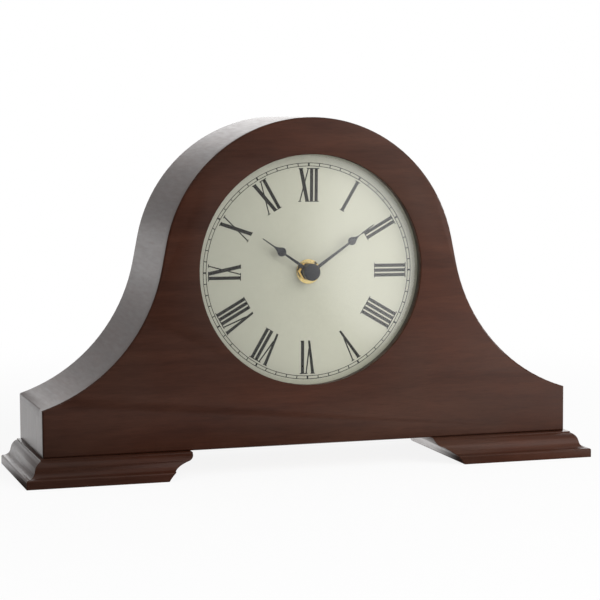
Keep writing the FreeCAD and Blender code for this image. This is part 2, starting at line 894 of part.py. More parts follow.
def make_foot(node, left):
    shape = foot_solid(left)
    side = -1 if left else 1
    front_screw = val("foot_screw_edge")
    back_screw = val("case_depth") - val("foot_screw_edge") - val("back_board_inset")
    for x_name in ("foot_screw_outer_x", "foot_screw_inner_x"):
        for depth in (front_screw, back_screw):
            base = Vector(side * val(x_name), depth + val("foot_front_reach"), 0)
            hole = Part.makeCylinder(val("foot_screw_radius"), val("foot_height"), base)
            recess = Part.makeCylinder(val("foot_counterbore_radius"), val("foot_counterbore_depth"), base)
            shape = shape.cut(hole).cut(recess)
    foot = doc.addObject("Part::Feature", node)
    foot.Shape = shape
    keep(node, foot, y=f"{FRONT_Y} - foot_front_reach")


def slotted_screw(radius, length, head_radius, head_height, along, slot_width="screw_slot_width"):
    """A screw whose head starts at its own origin and whose shank runs on along the axis."""
    shank = rod(radius, length, *offset_along(along, head_height), along=along)
    head = rod(head_radius, head_height, along=along)
    width = f"2 * {head_radius}"
    if along == "z":
        slot = block(width, slot_width, "screw_slot_depth", f"-{head_radius}", f"-{slot_width} / 2")
    else:
        slot = block(width, "screw_slot_depth", slot_width, f"-{head_radius}", "0", f"-{slot_width} / 2")
    return cut(fuse(head, shank), slot)


def offset_along(along, distance):
    return tuple(distance if axis == along else "0" for axis in "xyz")


def turned_round(item):
    """Make a screw that was built along +Y point to the front."""
    item.Placement = Placement(Vector(), Rotation(Vector(0, 0, 1), 180))
    return item


def make_foot_screws():
    screws = []
    for x, depth in foot_screw_places():
        screw = slotted_screw(
            "foot_screw_radius",
            "foot_screw_length - foot_screw_head_height",
            "foot_screw_head_radius",
            "foot_screw_head_height",
            "z",
        )
        screws.append(put(screw, x, depth, "foot_counterbore_depth - foot_screw_head_height"))
    keep("foot_screws", group(*screws), y=FRONT_Y)


def make_lens():
    """A domed glass with a flat rim that lies behind the board's lip."""
    radius = "((lens_dome_radius^2 + lens_rise^2) / (2 * lens_rise))"
    dome_centre = f"{radius} - lens_rise"
    outer = doc.addObject("Part::Sphere", "DomeOutside")
    bind(outer, "Radius", radius)
    put(outer, y=dome_centre)
    inner = doc.addObject("Part::Sphere", "DomeInside")
    bind(inner, "Radius", f"{radius} - lens_thickness")
    put(inner, y=dome_centre)
    core = rod("lens_radius", "lens_rise + overrun", y="-(lens_rise + overrun)")
    rim = rod("lens_radius", "lens_thickness")
    lens = cut(fuse(common(outer, core), rim), inner)
    keep("glass_lens", lens, "0", deep("lens_seat_lip"), "opening_centre_height")


def make_spacer():
    length = "front_board_thickness - lens_seat_lip - lens_thickness"
    ring = tube("lens_radius", "spacer_inner_radius", length)
    keep("dial_spacer_ring", ring, "0", deep("lens_seat_lip + lens_thickness"), "opening_centre_height")


def make_dial():
    body = make_body("dial_plate")
    disc = sketch_in(body, "DialDisc")
    draw_circle(disc, "dial_radius")
    draw_circle(disc, "dial_hole_radius")
    pad(body, disc, "dial_thickness")
    keep("dial_plate", body, "0", deep("front_board_thickness"), CENTRE_Z)


def make_backing():
    body = make_body("dial_backing_board")
    disc = sketch_in(body, "BackingDisc")
    draw_circle(disc, "backing_radius")
    draw_circle(disc, "dial_hole_radius")
    for across, up in DIAL_SCREWS:
        x, z = dial_screw_number(across, up)
        middle = val("opening_centre_height") - val("dial_drop")
        draw_circle(disc, "dial_screw_radius", (across, up), (x, z - middle))
    pad(body, disc, "backing_thickness")
    recess = sketch_in(body, "DialRecess")
    circle = Part.Circle(Vector(), Vector(0, 0, 1), val("dial_radius") + val("dial_recess_play"))
    recess.addGeometry(circle, False)
    recess.addConstraint(Sketcher.Constraint("Coincident", 0, 3, -1, 1))
    dimension(recess, "recess_radius", "dial_radius + dial_recess_play", "Radius", 0)
    pocket(body, recess, "dial_thickness")
    keep("dial_backing_board", body, "0", deep("front_board_thickness"), CENTRE_Z)


def make_dial_screws():
    screws = []
    for across, up in DIAL_SCREWS:
        screw = slotted_screw(
            "dial_screw_radius",
            "dial_screw_grip + backing_thickness",
            "dial_screw_head_radius",
            "dial_screw_head_height",
            "y",
        )
        screws.append(put(turned_round(screw), across, "0", up))
    y = deep("front_board_thickness + backing_thickness + dial_screw_head_height")
    keep("dial_board_screws", group(*screws), "0", y, CENTRE_Z)


def make_hub_fittings():
    washer = tube("dial_washer_radius", "bush_radius", "dial_washer_thickness")
    keep("dial_washer", washer, "0", deep("front_board_thickness - dial_washer_thickness"), CENTRE_Z)
    nut = doc.addObject("Part::Prism", "NutHexagon")
    nut.Polygon = 6
    bind(nut, "Circumradius", "bush_nut_across_flats / 2 / cos(30)")
    bind(nut, "Height", "bush_nut_thickness")
    nut.Placement = Placement(Vector(), TURN["y"])
    bore = rod("bush_radius", "bush_nut_thickness")
    depth = "front_board_thickness - dial_washer_thickness - bush_nut_thickness"
    keep("bush_nut", cut(nut, bore), "0", deep(depth), CENTRE_Z)
    rubber = tube("rubber_washer_radius", "bush_radius", "rubber_thickness")
    keep("rubber_washer", rubber, "0", deep("front_board_thickness + backing_thickness"), CENTRE_Z)


def make_bush():
    """The threaded sleeve that holds the movement to the dial, with a flange inside the movement."""
    length = f"{MOVEMENT_DEPTH} + movement_wall - bush_tip_depth"
    sleeve = rod("bush_radius", length)
    flange = rod("bush_flange_radius", "bush_flange_thickness", y=length)
    bore = rod("bush_bore_radius", f"{length} + bush_flange_thickness")
    keep("centre_bush", cut(fuse(sleeve, flange), bore), "0", deep("bush_tip_depth"), CENTRE_Z)


def make_cap():
    """The closed nut that holds the hands."""
    body = make_body("hand_cap_nut")
    disc = sketch_in(body, "CapDisc")
    draw_circle(disc, "cap_radius")
    pad(body, disc, "cap_height")
    round_edges(body, "cap_edge_round", lambda edge: edge.BoundBox.YMax < val("cap_height") * EQUAL_SHARE)
    thread = sketch_in(body, "CapThread", "cap_height - cap_thread_depth")
    draw_circle(thread, "cap_thread_radius")
    pocket(body, thread)
    keep("hand_cap_nut", body, "0", deep("minute_hand_depth - cap_height"), CENTRE_Z)


def tangent_middle(start, direction, end):
    """The middle of the arc that leaves start along a direction and reaches end."""
    chord = end - start
    turn = chord.getAngle(direction)
    side = direction - chord * (direction.dot(chord) / chord.dot(chord))
    lift = chord.Length / 2 * math.tan(turn / 2)
    return (start + end) / 2 + side.normalize() * lift


def below(point):
    return Vector(point.x, 0, -point.z)


def hand_blade(bulb_centre, bulb_radius, neck, reach):
    """A spade hand along +X: tapered shaft, round bulb, hollow shoulders and a thin point."""
    shaft = val("hand_shaft_half_width")
    shoulder = math.radians(val("bulb_shoulder_angle"))
    entry = bulb_centre - math.sqrt(bulb_radius ** 2 - shaft ** 2)
    exit_point = Vector(
        bulb_centre + bulb_radius * math.cos(shoulder), 0, bulb_radius * math.sin(shoulder)
    )
    side = Vector(bulb_centre, 0, bulb_radius)
    leave = Vector(math.sin(shoulder), 0, -math.cos(shoulder))
    neck_point = Vector(neck, 0, val("hand_point_half_width"))
    tip = Vector(reach, 0, val("hand_tip_half_width"))
    upper = [
        (Vector(entry, 0, shaft), None),
        (exit_point, side),
        (neck_point, tangent_middle(exit_point, leave, neck_point)),
        (tip, None),
    ]
    points = [below(point) for point, middle in upper][::-1]
    middles = [None] + [below(middle) if middle else None for point, middle in upper][::-1]
    lower = list(zip(points, middles))
    root = val("hand_root_half_width")
    steps = upper + lower + [(Vector(0, 0, -root), None), (Vector(0, 0, root), None)]
    return closed_face(steps).extrude(Vector(0, val("hand_thickness"), 0))


def drum(radius, start, end):
    """A cylinder about the Y axis between two places on it."""
    return Part.makeCylinder(radius, end - start, Vector(0, start, 0), Vector(0, 1, 0))


def feature(node, shape, place, y):
    """Keep a shape as a node that turns about an arbor of the movement."""
    item = doc.addObject("Part::Feature", node)
    item.Shape = shape
    return keep(node, item, place[0], y, f"{CENTRE_Z} + {place[1]}")


def make_hands():
    thickness = val("hand_thickness")
    front = -val("hour_collet_front")
    hour = hand_blade(
        val("hour_bulb_centre"), val("hour_bulb_radius"), val("hour_neck_reach"), val("hour_hand_reach")
    )
    hour = hour.fuse(drum(val("hour_collet_radius"), front, front + val("hour_collet_length")))
    hour = hour.cut(drum(val("hour_tube_radius"), -val("overrun"), val("overrun")))
    hour.rotate(Vector(), Vector(0, -1, 0), val("hour_hand_angle"))
    feature("hour_hand", hour.removeSplitter(), ("0", "0"), deep("hour_hand_depth"))
    minute = hand_blade(
        val("minute_bulb_centre"),
        val("minute_bulb_radius"),
        val("minute_neck_reach"),
        val("minute_hand_reach"),
    )
    minute = minute.fuse(drum(val("minute_boss_radius"), 0, thickness))
    minute = minute.cut(drum(val("cap_thread_radius"), -val("overrun"), val("overrun")))
    minute.rotate(Vector(), Vector(0, -1, 0), val("minute_hand_angle"))
    feature("minute_hand", minute.removeSplitter(), ("0", "0"), deep("minute_hand_depth"))


def polar(radius, angle):
    return Vector(radius * math.cos(angle), 0, radius * math.sin(angle))


def gear_prism(teeth, module, phase, start, face):
    """A spur gear about the Y axis with involute flanks, as arcs, and a tooth at the phase angle."""
    pitch = teeth * module / 2
    base = pitch * math.cos(PRESSURE_ANGLE)
    tip = pitch + ADDENDUM_SHARE * module
    root = pitch - DEDENDUM_SHARE * module
    foot = max(root, base)
    pitch_half = (math.pi / 2 - TOOTH_PLAY_SHARE) / teeth + math.tan(PRESSURE_ANGLE) - PRESSURE_ANGLE

    def half_angle(radius):
        pressure = math.acos(min(1, base / radius))
        return pitch_half - (math.tan(pressure) - pressure)

    edges = []
    middle = (foot + tip) / 2
    for index in range(int(teeth)):
        angle = phase + index * 2 * math.pi / teeth
        following = angle + 2 * math.pi / teeth
        rise = [polar(radius, angle - half_angle(radius)) for radius in (foot, middle, tip)]
        fall = [polar(radius, angle + half_angle(radius)) for radius in (tip, middle, foot)]
        low = polar(root, angle - half_angle(foot))
        low_after = polar(root, angle + half_angle(foot))
        if foot > root:
            edges.append(Part.LineSegment(low, rise[0]))
        edges.append(Part.Arc(*rise))
        edges.append(Part.LineSegment(rise[2], fall[0]))
        edges.append(Part.Arc(*fall))
        if foot > root:
            edges.append(Part.LineSegment(fall[2], low_after))
        edges.append(Part.LineSegment(low_after, polar(root, following - half_angle(foot))))
    wire = Part.Wire([edge.toShape() for edge in edges])
    prism = Part.Face(wire).extrude(Vector(0, face, 0))
    prism.translate(Vector(0, start, 0))
    return prism


def bearing(start, end):
    return math.atan2(end[1] - start[1], end[0] - start[0])


def meshed_phase(driver_place, driver_teeth, driver_phase, place, teeth):
    """The phase that puts a gap of the second gear on a tooth of the first."""
    line = bearing(driver_place, place)
    offset = driver_phase - line
    return line + math.pi + math.pi / teeth - offset * driver_teeth / teeth


def level(index):
    """Where the wheels of a level start, measured from the movement's front face."""
    start = val("movement_wall") + val("bush_flange_thickness") + val("train_end_play")
    return start + (index - 1) * (val("wheel_face") + val("level_gap"))


def bridge_start():
    return level(7) + val("rotor_magnet_length") + val("bridge_gap")


def cover_start():
    return val("movement_wall") + val("movement_inner_depth")


def front_pivot():
    """Where front pivots end: in blind holes of the front wall."""
    return val("movement_wall") - val("pivot_reach")


def back_pivot():
    """Where rear pivots end: inside the bridge's thickness."""
    return bridge_start() + val("bridge_thickness") - val("pivot_end_play")


def pinion(teeth, module, phase, index, length=None):
    """A pinion that meshes with the wheel of one level and runs on to the next level."""
    start = level(index) - val("pinion_overhang")
    face = length or level(index + 1) - start
    return gear_prism(val(teeth), val(module), phase, start, face)


def wheel(teeth, module, phase, index):
    return gear_prism(val(teeth), val(module), phase, level(index), val("wheel_face"))


def make_train():
    """Motion work, going train and rotor, all in mesh at rest."""
    back = deep(MOVEMENT_DEPTH)
    small = val("train_pinion_teeth")
    overhang = val("pinion_overhang")
    short = val("wheel_face") + 2 * overhang
    depth = val("front_board_thickness") + val("backing_thickness") + val("rubber_thickness")

    # minute arbor with its pinion, then the two wheels that lead to the hour hand
    shoulder = val("minute_hand_depth") + val("hand_thickness") - depth
    tip = val("minute_hand_depth") - val("cap_thread_depth") + overhang - depth
    arbor = drum(val("minute_arbor_radius"), shoulder, level(2) - overhang)
    arbor = arbor.fuse(drum(val("cap_thread_radius"), tip, shoulder))
    arbor = arbor.fuse(pinion("centre_pinion_teeth", "motion_module", 0, 2, short))
    arbor = arbor.fuse(drum(val("centre_seat_radius"), level(2), bridge_start() - overhang))
    arbor = arbor.fuse(drum(val("train_arbor_radius"), level(2), back_pivot()))
    feature("minute_arbor", arbor, ("0", "0"), back)

    phase = meshed_phase(CENTRE, val("centre_pinion_teeth"), 0, MINUTE, val("minute_wheel_teeth"))
    minute = wheel("minute_wheel_teeth", "motion_module", phase, 2)
    minute = minute.fuse(pinion("minute_pinion_teeth", "hour_module", phase, 1))
    minute = minute.fuse(drum(val("setting_pivot_radius"), front_pivot(), level(1)))
    knob_end = cover_start() + val("cover_thickness") + val("knob_height")
    minute = minute.fuse(drum(val("setting_arbor_radius"), level(2), knob_end))
    feature("minute_wheel", minute, ("minute_x", "minute_z"), back)

    hour_phase = meshed_phase(MINUTE, val("minute_pinion_teeth"), phase, CENTRE, val("hour_wheel_teeth"))
    hour = wheel("hour_wheel_teeth", "hour_module", hour_phase, 1)
    tube_front = val("hour_tube_front_depth") - depth
    hour = hour.fuse(drum(val("hour_tube_radius"), tube_front, level(1)))
    bore = val("minute_arbor_radius") + val("running_clearance")
    hour = hour.cut(drum(bore, tube_front, level(2)))
    feature("hour_wheel", hour, ("0", "0"), back)

    # going train from the centre wheel back to the rotor
    centre = wheel("centre_wheel_teeth", "train_module", 0, 3)
    bore = val("centre_seat_radius") + val("running_clearance")
    centre = centre.cut(drum(bore, level(3) - overhang, level(4)))
    feature("centre_wheel", centre, ("0", "0"), back)

    phase = meshed_phase(CENTRE, val("centre_wheel_teeth"), 0, THIRD, small)
    third = wheel("third_wheel_teeth", "train_module", phase, 4)
    third = third.fuse(pinion("train_pinion_teeth", "train_module", phase, 3))
    third = third.fuse(drum(val("train_arbor_radius"), front_pivot(), back_pivot()))
    feature("third_wheel", third, ("third_x", "third_z"), back)

    phase = meshed_phase(THIRD, val("third_wheel_teeth"), phase, SECONDS, small)
    seconds = wheel("seconds_wheel_teeth", "train_module", phase, 5)
    seconds = seconds.fuse(pinion("train_pinion_teeth", "train_module", phase, 4))
    seconds = seconds.fuse(drum(val("train_arbor_radius"), front_pivot(), back_pivot()))
    feature("seconds_wheel", seconds, ("seconds_x", "seconds_z"), back)

    phase = meshed_phase(SECONDS, val("seconds_wheel_teeth"), phase, INTERMEDIATE, small)
    middle = wheel("intermediate_wheel_teeth", "fast_module", phase, 6)
    middle = middle.fuse(pinion("train_pinion_teeth", "train_module", phase, 5))
    middle = middle.fuse(drum(val("train_arbor_radius"), front_pivot(), back_pivot()))
    feature("intermediate_wheel", middle, ("intermediate_x", "intermediate_z"), back)

    phase = meshed_phase(INTERMEDIATE, val("intermediate_wheel_teeth"), phase, ROTOR, small)
    rotor = pinion("train_pinion_teeth", "fast_module", phase, 6, short)
    rotor = rotor.fuse(drum(val("rotor_magnet_radius"), level(7), level(7) + val("rotor_magnet_length")))
    rotor = rotor.fuse(drum(val("rotor_arbor_radius"), front_pivot(), back_pivot()))
    feature("rotor", rotor, ("rotor_x", "rotor_z"), back)


def make_front_case():
    """A tray, open to the back, with posts for the bridge and circuit board and a battery bay."""
    width = "2 * movement_half_width"
    height = "movement_above + movement_below"
    outer = block(width, COVER_START, height, "-movement_half_width", "0", "-movement_below")
    hollow = block(
        f"{width} - 2 * movement_wall",
        "movement_inner_depth + overrun",
        f"{height} - 2 * movement_wall",
        "movement_wall - movement_half_width",
        "movement_wall",
        "movement_wall - movement_below",
    )
    pieces = [cut(outer, hollow)]
    pieces.append(block(
        f"{width} - 2 * movement_wall", "movement_inner_depth", "bay_wall",
        "movement_wall - movement_half_width", "movement_wall", BAY_TOP,
    ))
    for x in ("bay_rib_inner_x", "bay_rib_outer_x", "-bay_rib_inner_x", "-bay_rib_outer_x"):
        pieces.append(block(
            "bay_rib_thickness", "cell_axis_depth - cell_radius - movement_wall", "bay_height",
            f"{x} - bay_rib_thickness / 2", "movement_wall", "movement_wall - movement_below",
        ))
    for name, (x, z) in POSTS.items():
        shoulder = STATOR_START if name == "stator_post" else BRIDGE_START
        pieces.append(rod("post_radius", f"{shoulder} - movement_wall", x, "movement_wall", z))
        peg_length = f"{BRIDGE_START} + bridge_thickness - movement_wall"
        pieces.append(rod("peg_radius", peg_length, x, "movement_wall", z))
    for x, z in CIRCUIT_POSTS:
        pieces.append(rod("post_radius", "circuit_depth - movement_wall", x, "movement_wall", z))
        length = "circuit_depth + circuit_thickness - movement_wall"
        pieces.append(rod("circuit_peg_radius", length, x, "movement_wall", z))
    blind = "movement_wall - pivot_reach - pivot_end_play"
    holes = [rod("bush_radius", "movement_wall")]
    for name in ARBOR_PLACES:
        radius = FRONT_PIVOTS.get(name, "train_arbor_radius")
        holes.append(rod(
            f"{radius} + running_clearance", "movement_wall", f"{name}_x", blind, f"{name}_z"
        ))
    keep("movement_front_case", cut(fuse(*pieces), *holes), "0", deep(MOVEMENT_DEPTH), CENTRE_Z)


def make_bridge():
    plate = block(
        "bridge_left + bridge_right", "bridge_thickness", "bridge_above + bridge_below",
        "-bridge_left", "0", "-bridge_below",
    )
    holes = [rod("peg_radius", "bridge_thickness", x, "0", z) for x, z in POSTS.values()]
    holes.append(rod("train_arbor_radius + running_clearance", "bridge_thickness"))
    for name in ARBOR_PLACES:
        radius = BACK_PIVOTS.get(name, "train_arbor_radius")
        holes.append(rod(
            f"{radius} + running_clearance", "bridge_thickness", f"{name}_x", "0", f"{name}_z"
        ))
    keep("train_bridge", cut(plate, *holes), "0", deep(f"{MOVEMENT_DEPTH} + {BRIDGE_START}"), CENTRE_Z)


def make_stator():
    """Laminations round the rotor, with a core bar that the coil is wound on."""
    top = "stator_height - stator_plate_below - stator_leg"
    plate = block(
        "stator_plate_left + stator_plate_right", "stator_thickness", "stator_height",
        "-stator_plate_left", "0", "-stator_plate_below",
    )
    run = "stator_length - stator_plate_left"
    core = block(run, "stator_thickness", "stator_leg", "0", "0", "-stator_leg / 2")
    upper = block(run, "stator_thickness", "stator_leg", "0", "0", top)
    end = block(
        "stator_leg", "stator_thickness", f"{top} + stator_leg * 1.5",
        f"{run} - stator_leg", "0", "-stator_leg / 2",
    )
    hole = rod("stator_hole_radius", "stator_thickness")
    peg = rod("peg_radius", "stator_thickness", "stator_post_x - rotor_x", "0", "stator_post_z - rotor_z")
    shape = cut(fuse(plate, core, upper, end), hole, peg)
    y = deep(f"{MOVEMENT_DEPTH} + {STATOR_START}")
    keep("stator", shape, "rotor_x", y, f"{CENTRE_Z} + rotor_z")


def make_coil():
    """A wound bobbin about the stator's core bar."""
    winding = rod("coil_radius", "coil_length", along="x")
    lip = "coil_radius + coil_flange_lip"
    first = rod(lip, "coil_flange_thickness", along="x")
    last = rod(lip, "coil_flange_thickness", "coil_length - coil_flange_thickness", along="x")
    slot = block(
        "coil_length", "stator_thickness + 2 * coil_fit", "stator_leg + 2 * coil_fit",
        "0", "-(stator_thickness / 2 + coil_fit)", "-(stator_leg / 2 + coil_fit)",
    )
    y = deep(f"{MOVEMENT_DEPTH} + {STATOR_START} + stator_thickness / 2")
    keep("coil", cut(fuse(winding, first, last), slot), "coil_start", y, f"{CENTRE_Z} + rotor_z")


def make_circuit():
    board = block(
        "circuit_right - circuit_left", "circuit_thickness", "circuit_above + circuit_below",
        "circuit_left", "0", "-circuit_below",
    )
    holes = [rod("circuit_peg_radius", "circuit_thickness", x, "0", z) for x, z in CIRCUIT_POSTS]
    depth = f"{MOVEMENT_DEPTH} + circuit_depth"
    keep("circuit_board", cut(board, *holes), "0", deep(depth), CENTRE_Z)
    chip = rod("chip_radius", "chip_height")
    keep("control_chip", chip, "chip_x", deep(f"{depth} - chip_height"), f"{CENTRE_Z} - chip_z")
    can = rod("crystal_radius", "crystal_length")
    can.Placement = Placement(Vector(), TURN["z"])
    keep("quartz_crystal", can, "crystal_x", deep(f"{depth} - crystal_radius"), f"{CENTRE_Z} - crystal_z")


def slide_travel_slots():
    """Slots in the cover for the two slides, as long as their travel."""
    return [
        block(
            "slide_knob_width + slide_travel + 2 * slide_gap", "cover_thickness",
            "slide_knob_height + 2 * slide_gap",
            "slide_rest_x + (slide_base_width - slide_knob_width) / 2 - slide_gap", "0",
            f"{z} - slide_knob_height / 2 - slide_gap",
        )
        for z in ("selector_z", "volume_z")
    ]


def make_cover():
    """The snap-on back of the movement, open over the battery bay and slotted over the speaker."""
    plate = block(
        "2 * movement_half_width", "cover_thickness", "movement_above + movement_below",
        "-movement_half_width", "0", "-movement_below",
    )
    inset = "(movement_wall + cover_fit)"
    rim_x = f"{inset} - movement_half_width"
    rim_z = f"{BAY_TOP} + bay_wall + cover_fit"
    rim_height = f"movement_above - {inset} - ({rim_z})"
    rim_outer = block(
        f"2 * (movement_half_width - {inset})", "cover_rim_height", rim_height,
        rim_x, "-cover_rim_height", rim_z,
    )
    rim_inner = block(
        f"2 * (movement_half_width - {inset} - cover_rim_thickness)", "cover_rim_height",
        f"{rim_height} - 2 * cover_rim_thickness",
        f"{rim_x} + cover_rim_thickness", "-cover_rim_height", f"{rim_z} + cover_rim_thickness",
    )
    speaker_notch = rod(
        "speaker_radius + cover_fit", "cover_rim_height", "-speaker_x", "-cover_rim_height", "speaker_z"
    )
    rim = cut(rim_outer, rim_inner, speaker_notch)
    bay = block(
        "2 * (movement_half_width - movement_wall)", "cover_thickness", "bay_height",
        "movement_wall - movement_half_width", "0", "movement_wall - movement_below",
    )
    knob_hole = rod("knob_hole_radius", "cover_thickness", "minute_x", "0", "minute_z")
    slots = []
    for index in range(int(val("grille_slots"))):
        shift = f"({index} - (grille_slots - 1) / 2) * grille_slot_pitch"
        slots.append(block(
            "grille_slot_length", "cover_thickness", "grille_slot_width",
            "-speaker_x - grille_slot_length / 2", "0", f"speaker_z + {shift} - grille_slot_width / 2",
        ))
    cover = cut(fuse(plate, rim), bay, knob_hole, *slots, *slide_travel_slots())
    keep("movement_rear_cover", cover, "0", deep(f"{MOVEMENT_DEPTH} + {COVER_START}"), CENTRE_Z)


def make_slide(node, z):
    """A slide whose foot lies between circuit board and cover and whose knob stands out."""
    base_y = "-(slide_base_thickness + slide_gap)"
    base = block("slide_base_width", "slide_base_thickness", "slide_base_height", "0", base_y)
    knob = block(
        "slide_knob_width", "slide_base_thickness + slide_gap + cover_thickness + slide_knob_proud",
        "slide_knob_height",
        "(slide_base_width - slide_knob_width) / 2", base_y, "(slide_base_height - slide_knob_height) / 2",
    )
    y = deep(f"{MOVEMENT_DEPTH} + {COVER_START}")
    keep(node, fuse(base, knob), "slide_rest_x", y, f"{CENTRE_Z} + {z} - slide_base_height / 2")


def make_setting_knob():
    body = make_body("setting_knob")
    disc = sketch_in(body, "KnobDisc")
    draw_circle(disc, "knob_radius")
    draw_circle(disc, "setting_arbor_radius")
    pad(body, disc, "knob_height - knob_gap")
    flute = sketch_in(body, "KnobFlute")
    draw_circle(flute, "knob_flute_radius", ("knob_radius", "0"), (val("knob_radius"), 0.0))
    notch = pocket(body, flute)
    pattern = body.newObject("PartDesign::PolarPattern", "KnobFlutes")
    pattern.Originals = [notch]
    pattern.Axis = ([item for item in body.Origin.OriginFeatures if item.Role == "Y_Axis"][0], [""])
    pattern.Angle = 360
    bind(pattern, "Occurrences", "knob_flutes")
    body.Tip = pattern
    y = deep(f"{MOVEMENT_DEPTH} + {COVER_START} + cover_thickness + knob_gap")
    keep("setting_knob", body, "minute_x", y, f"{CENTRE_Z} + minute_z")


def make_cells():
    """Two cells end to end, each with its nub towards +X."""
    starts = {"battery_cell_left": "-(cell_body_length + cell_nub_length)", "battery_cell_right": "0"}
    for node, start in starts.items():
        barrel = rod("cell_radius", "cell_body_length", along="x")
        nub = rod("cell_nub_radius", "cell_nub_length", "cell_body_length", along="x")
        y = deep(f"{MOVEMENT_DEPTH} + cell_axis_depth")
        keep(node, fuse(barrel, nub), start, y, f"{CENTRE_Z} + {CELL_AXIS_Z}")


def contact_plate(x="0"):
    return block(
        "contact_thickness", "contact_width", "contact_height",
        x, "-contact_width / 2", "-contact_height / 2",
    )


def make_contacts():
    """A plate with a wire spring against the first cell and a bowed tab against the last."""
    y = deep(f"{MOVEMENT_DEPTH} + cell_axis_depth")
    z = f"{CENTRE_Z} + {CELL_AXIS_Z}"
    plate = contact_plate()
    rings = []
    for index in range(int(val("contact_spring_turns"))):
        ring = doc.addObject("Part::Torus", "SpringTurn")
        bind(ring, "Radius1", "contact_spring_radius")
        bind(ring, "Radius2", "contact_wire_radius")
        ring.Placement = Placement(Vector(), TURN["x"])
        spread = f"({CONTACT_REACH} - 2 * contact_wire_radius) / (contact_spring_turns - 1)"
        rings.append(put(ring, f"contact_thickness + contact_wire_radius + {index} * {spread}"))
    stem = rod(
        "contact_wire_radius", CONTACT_REACH, "contact_thickness", "0", "contact_spring_radius", along="x"
    )
    spring = fuse(plate, stem, *rings)
    keep("battery_spring", spring, "movement_wall - movement_half_width", y, z)
    foot = block(
        f"{CONTACT_REACH} + contact_thickness", "contact_width", "contact_thickness",
        f"-{CONTACT_REACH}", "-contact_width / 2", "-contact_height / 2",
    )
    tab = fuse(contact_plate(), foot, contact_plate("-" + CONTACT_REACH))
    keep("battery_tab", tab, "movement_half_width - movement_wall - contact_thickness", y, z)


def make_speaker():
    """Basket, magnet and cone, facing the slots of the movement's cover."""
    y = deep(f"{MOVEMENT_DEPTH} + {COVER_START}")
    z = f"{CENTRE_Z} + speaker_z"
    rim_y = "-speaker_flange_thickness"
    throat = "(speaker_radius - speaker_flange_width)"
    flange = rod("speaker_radius", "speaker_flange_thickness", y=rim_y)
    basket = taper(
        "speaker_magnet_radius + speaker_wall", throat + " + speaker_wall", "speaker_basket_depth",
        y=f"{rim_y} - speaker_basket_depth",
    )
    hollow = taper(
        "speaker_magnet_radius", throat, "speaker_basket_depth - speaker_wall",
        y=f"{rim_y} - speaker_basket_depth + speaker_wall",
    )
    mouth = rod(throat, "speaker_flange_thickness", y=rim_y)
    keep("speaker_frame", cut(fuse(flange, basket), hollow, mouth), "-speaker_x", y, z)
    magnet = rod("speaker_magnet_radius", "speaker_magnet_depth")
    magnet_y = deep(
        f"{MOVEMENT_DEPTH} + {COVER_START}"
        " - speaker_flange_thickness - speaker_basket_depth - speaker_magnet_depth"
    )
    keep("speaker_magnet", magnet, "-speaker_x", magnet_y, z)
    cone_outer = f"{throat} - speaker_wall"
    outside = taper("cone_small_radius", cone_outer, "cone_depth", y="-cone_depth")
    inside = taper("cone_small_radius", cone_outer, "cone_depth", y="-cone_depth + cone_thickness")
    voice = rod(
        "cone_small_radius", "speaker_basket_depth - speaker_wall - cone_depth + cone_thickness",
        y="speaker_wall - speaker_basket_depth",
    )
    cone_y = deep(f"{MOVEMENT_DEPTH} + {COVER_START} - speaker_flange_thickness")
    keep("speaker_cone", fuse(cut(outside, inside), voice), "-speaker_x", cone_y, z)


def rounded_plate(width, height, thickness, radius):
    """A plate with four rounded upright corners, from its left, front, bottom corner."""
    middle = block(width, thickness, f"{height} - 2 * {radius}", "0", "0", radius)
    tall = block(f"{width} - 2 * {radius}", thickness, height, radius)
    corners = [
        rod(radius, thickness, x, "0", z)
        for x in (radius, f"{width} - {radius}")
        for z in (radius, f"{height} - {radius}")
    ]
    return fuse(middle, tall, *corners)


def make_back_board():
    """The back of the case, set in from the band's rear edge, with the door's opening."""
    body = make_body("BackBoardBlank")
    outline = sketch_in(body, "BackOutline")
    inner_half = val("case_half_width") - val("end_panel_thickness")
    draw_outline(
        outline, "band_thickness", INNER_HALF_WIDTH, "foot_height",
        val("band_thickness"), inner_half, val("foot_height"),
    )
    pad(body, outline, "back_board_thickness")
    opening = rounded_plate(
        "(2 * door_half_width)", "door_height", "back_board_thickness", "door_corner_radius"
    )
    put(opening, "-door_half_width", "0", f"{DOOR_TOP} - door_height")
    pilots = [
        rod("hinge_screw_radius", "hinge_screw_length", f"{HINGE_AXIS_X} - {x}",
            "back_board_thickness - hinge_screw_length", z)
        for x, z in hinge_screw_places()
    ]
    keep("back_board", cut(body, opening, *pilots), "0", deep(BACK_BOARD_DEPTH), "0")


def hinge_centres():
    """Heights of the middles of the two hinges."""
    return [
        f"({DOOR_TOP} - hinge_edge - hinge_height / 2)",
        f"({DOOR_TOP} - door_height + hinge_edge + hinge_height / 2)",
    ]


def hinge_screw_places():
    """Distance from the hinge axis and height of every screw on one side."""
    return [
        (LEAF_MIDDLE, f"{centre} {sign} hinge_screw_spacing / 2")
        for centre in hinge_centres()
        for sign in ("+", "-")
    ]


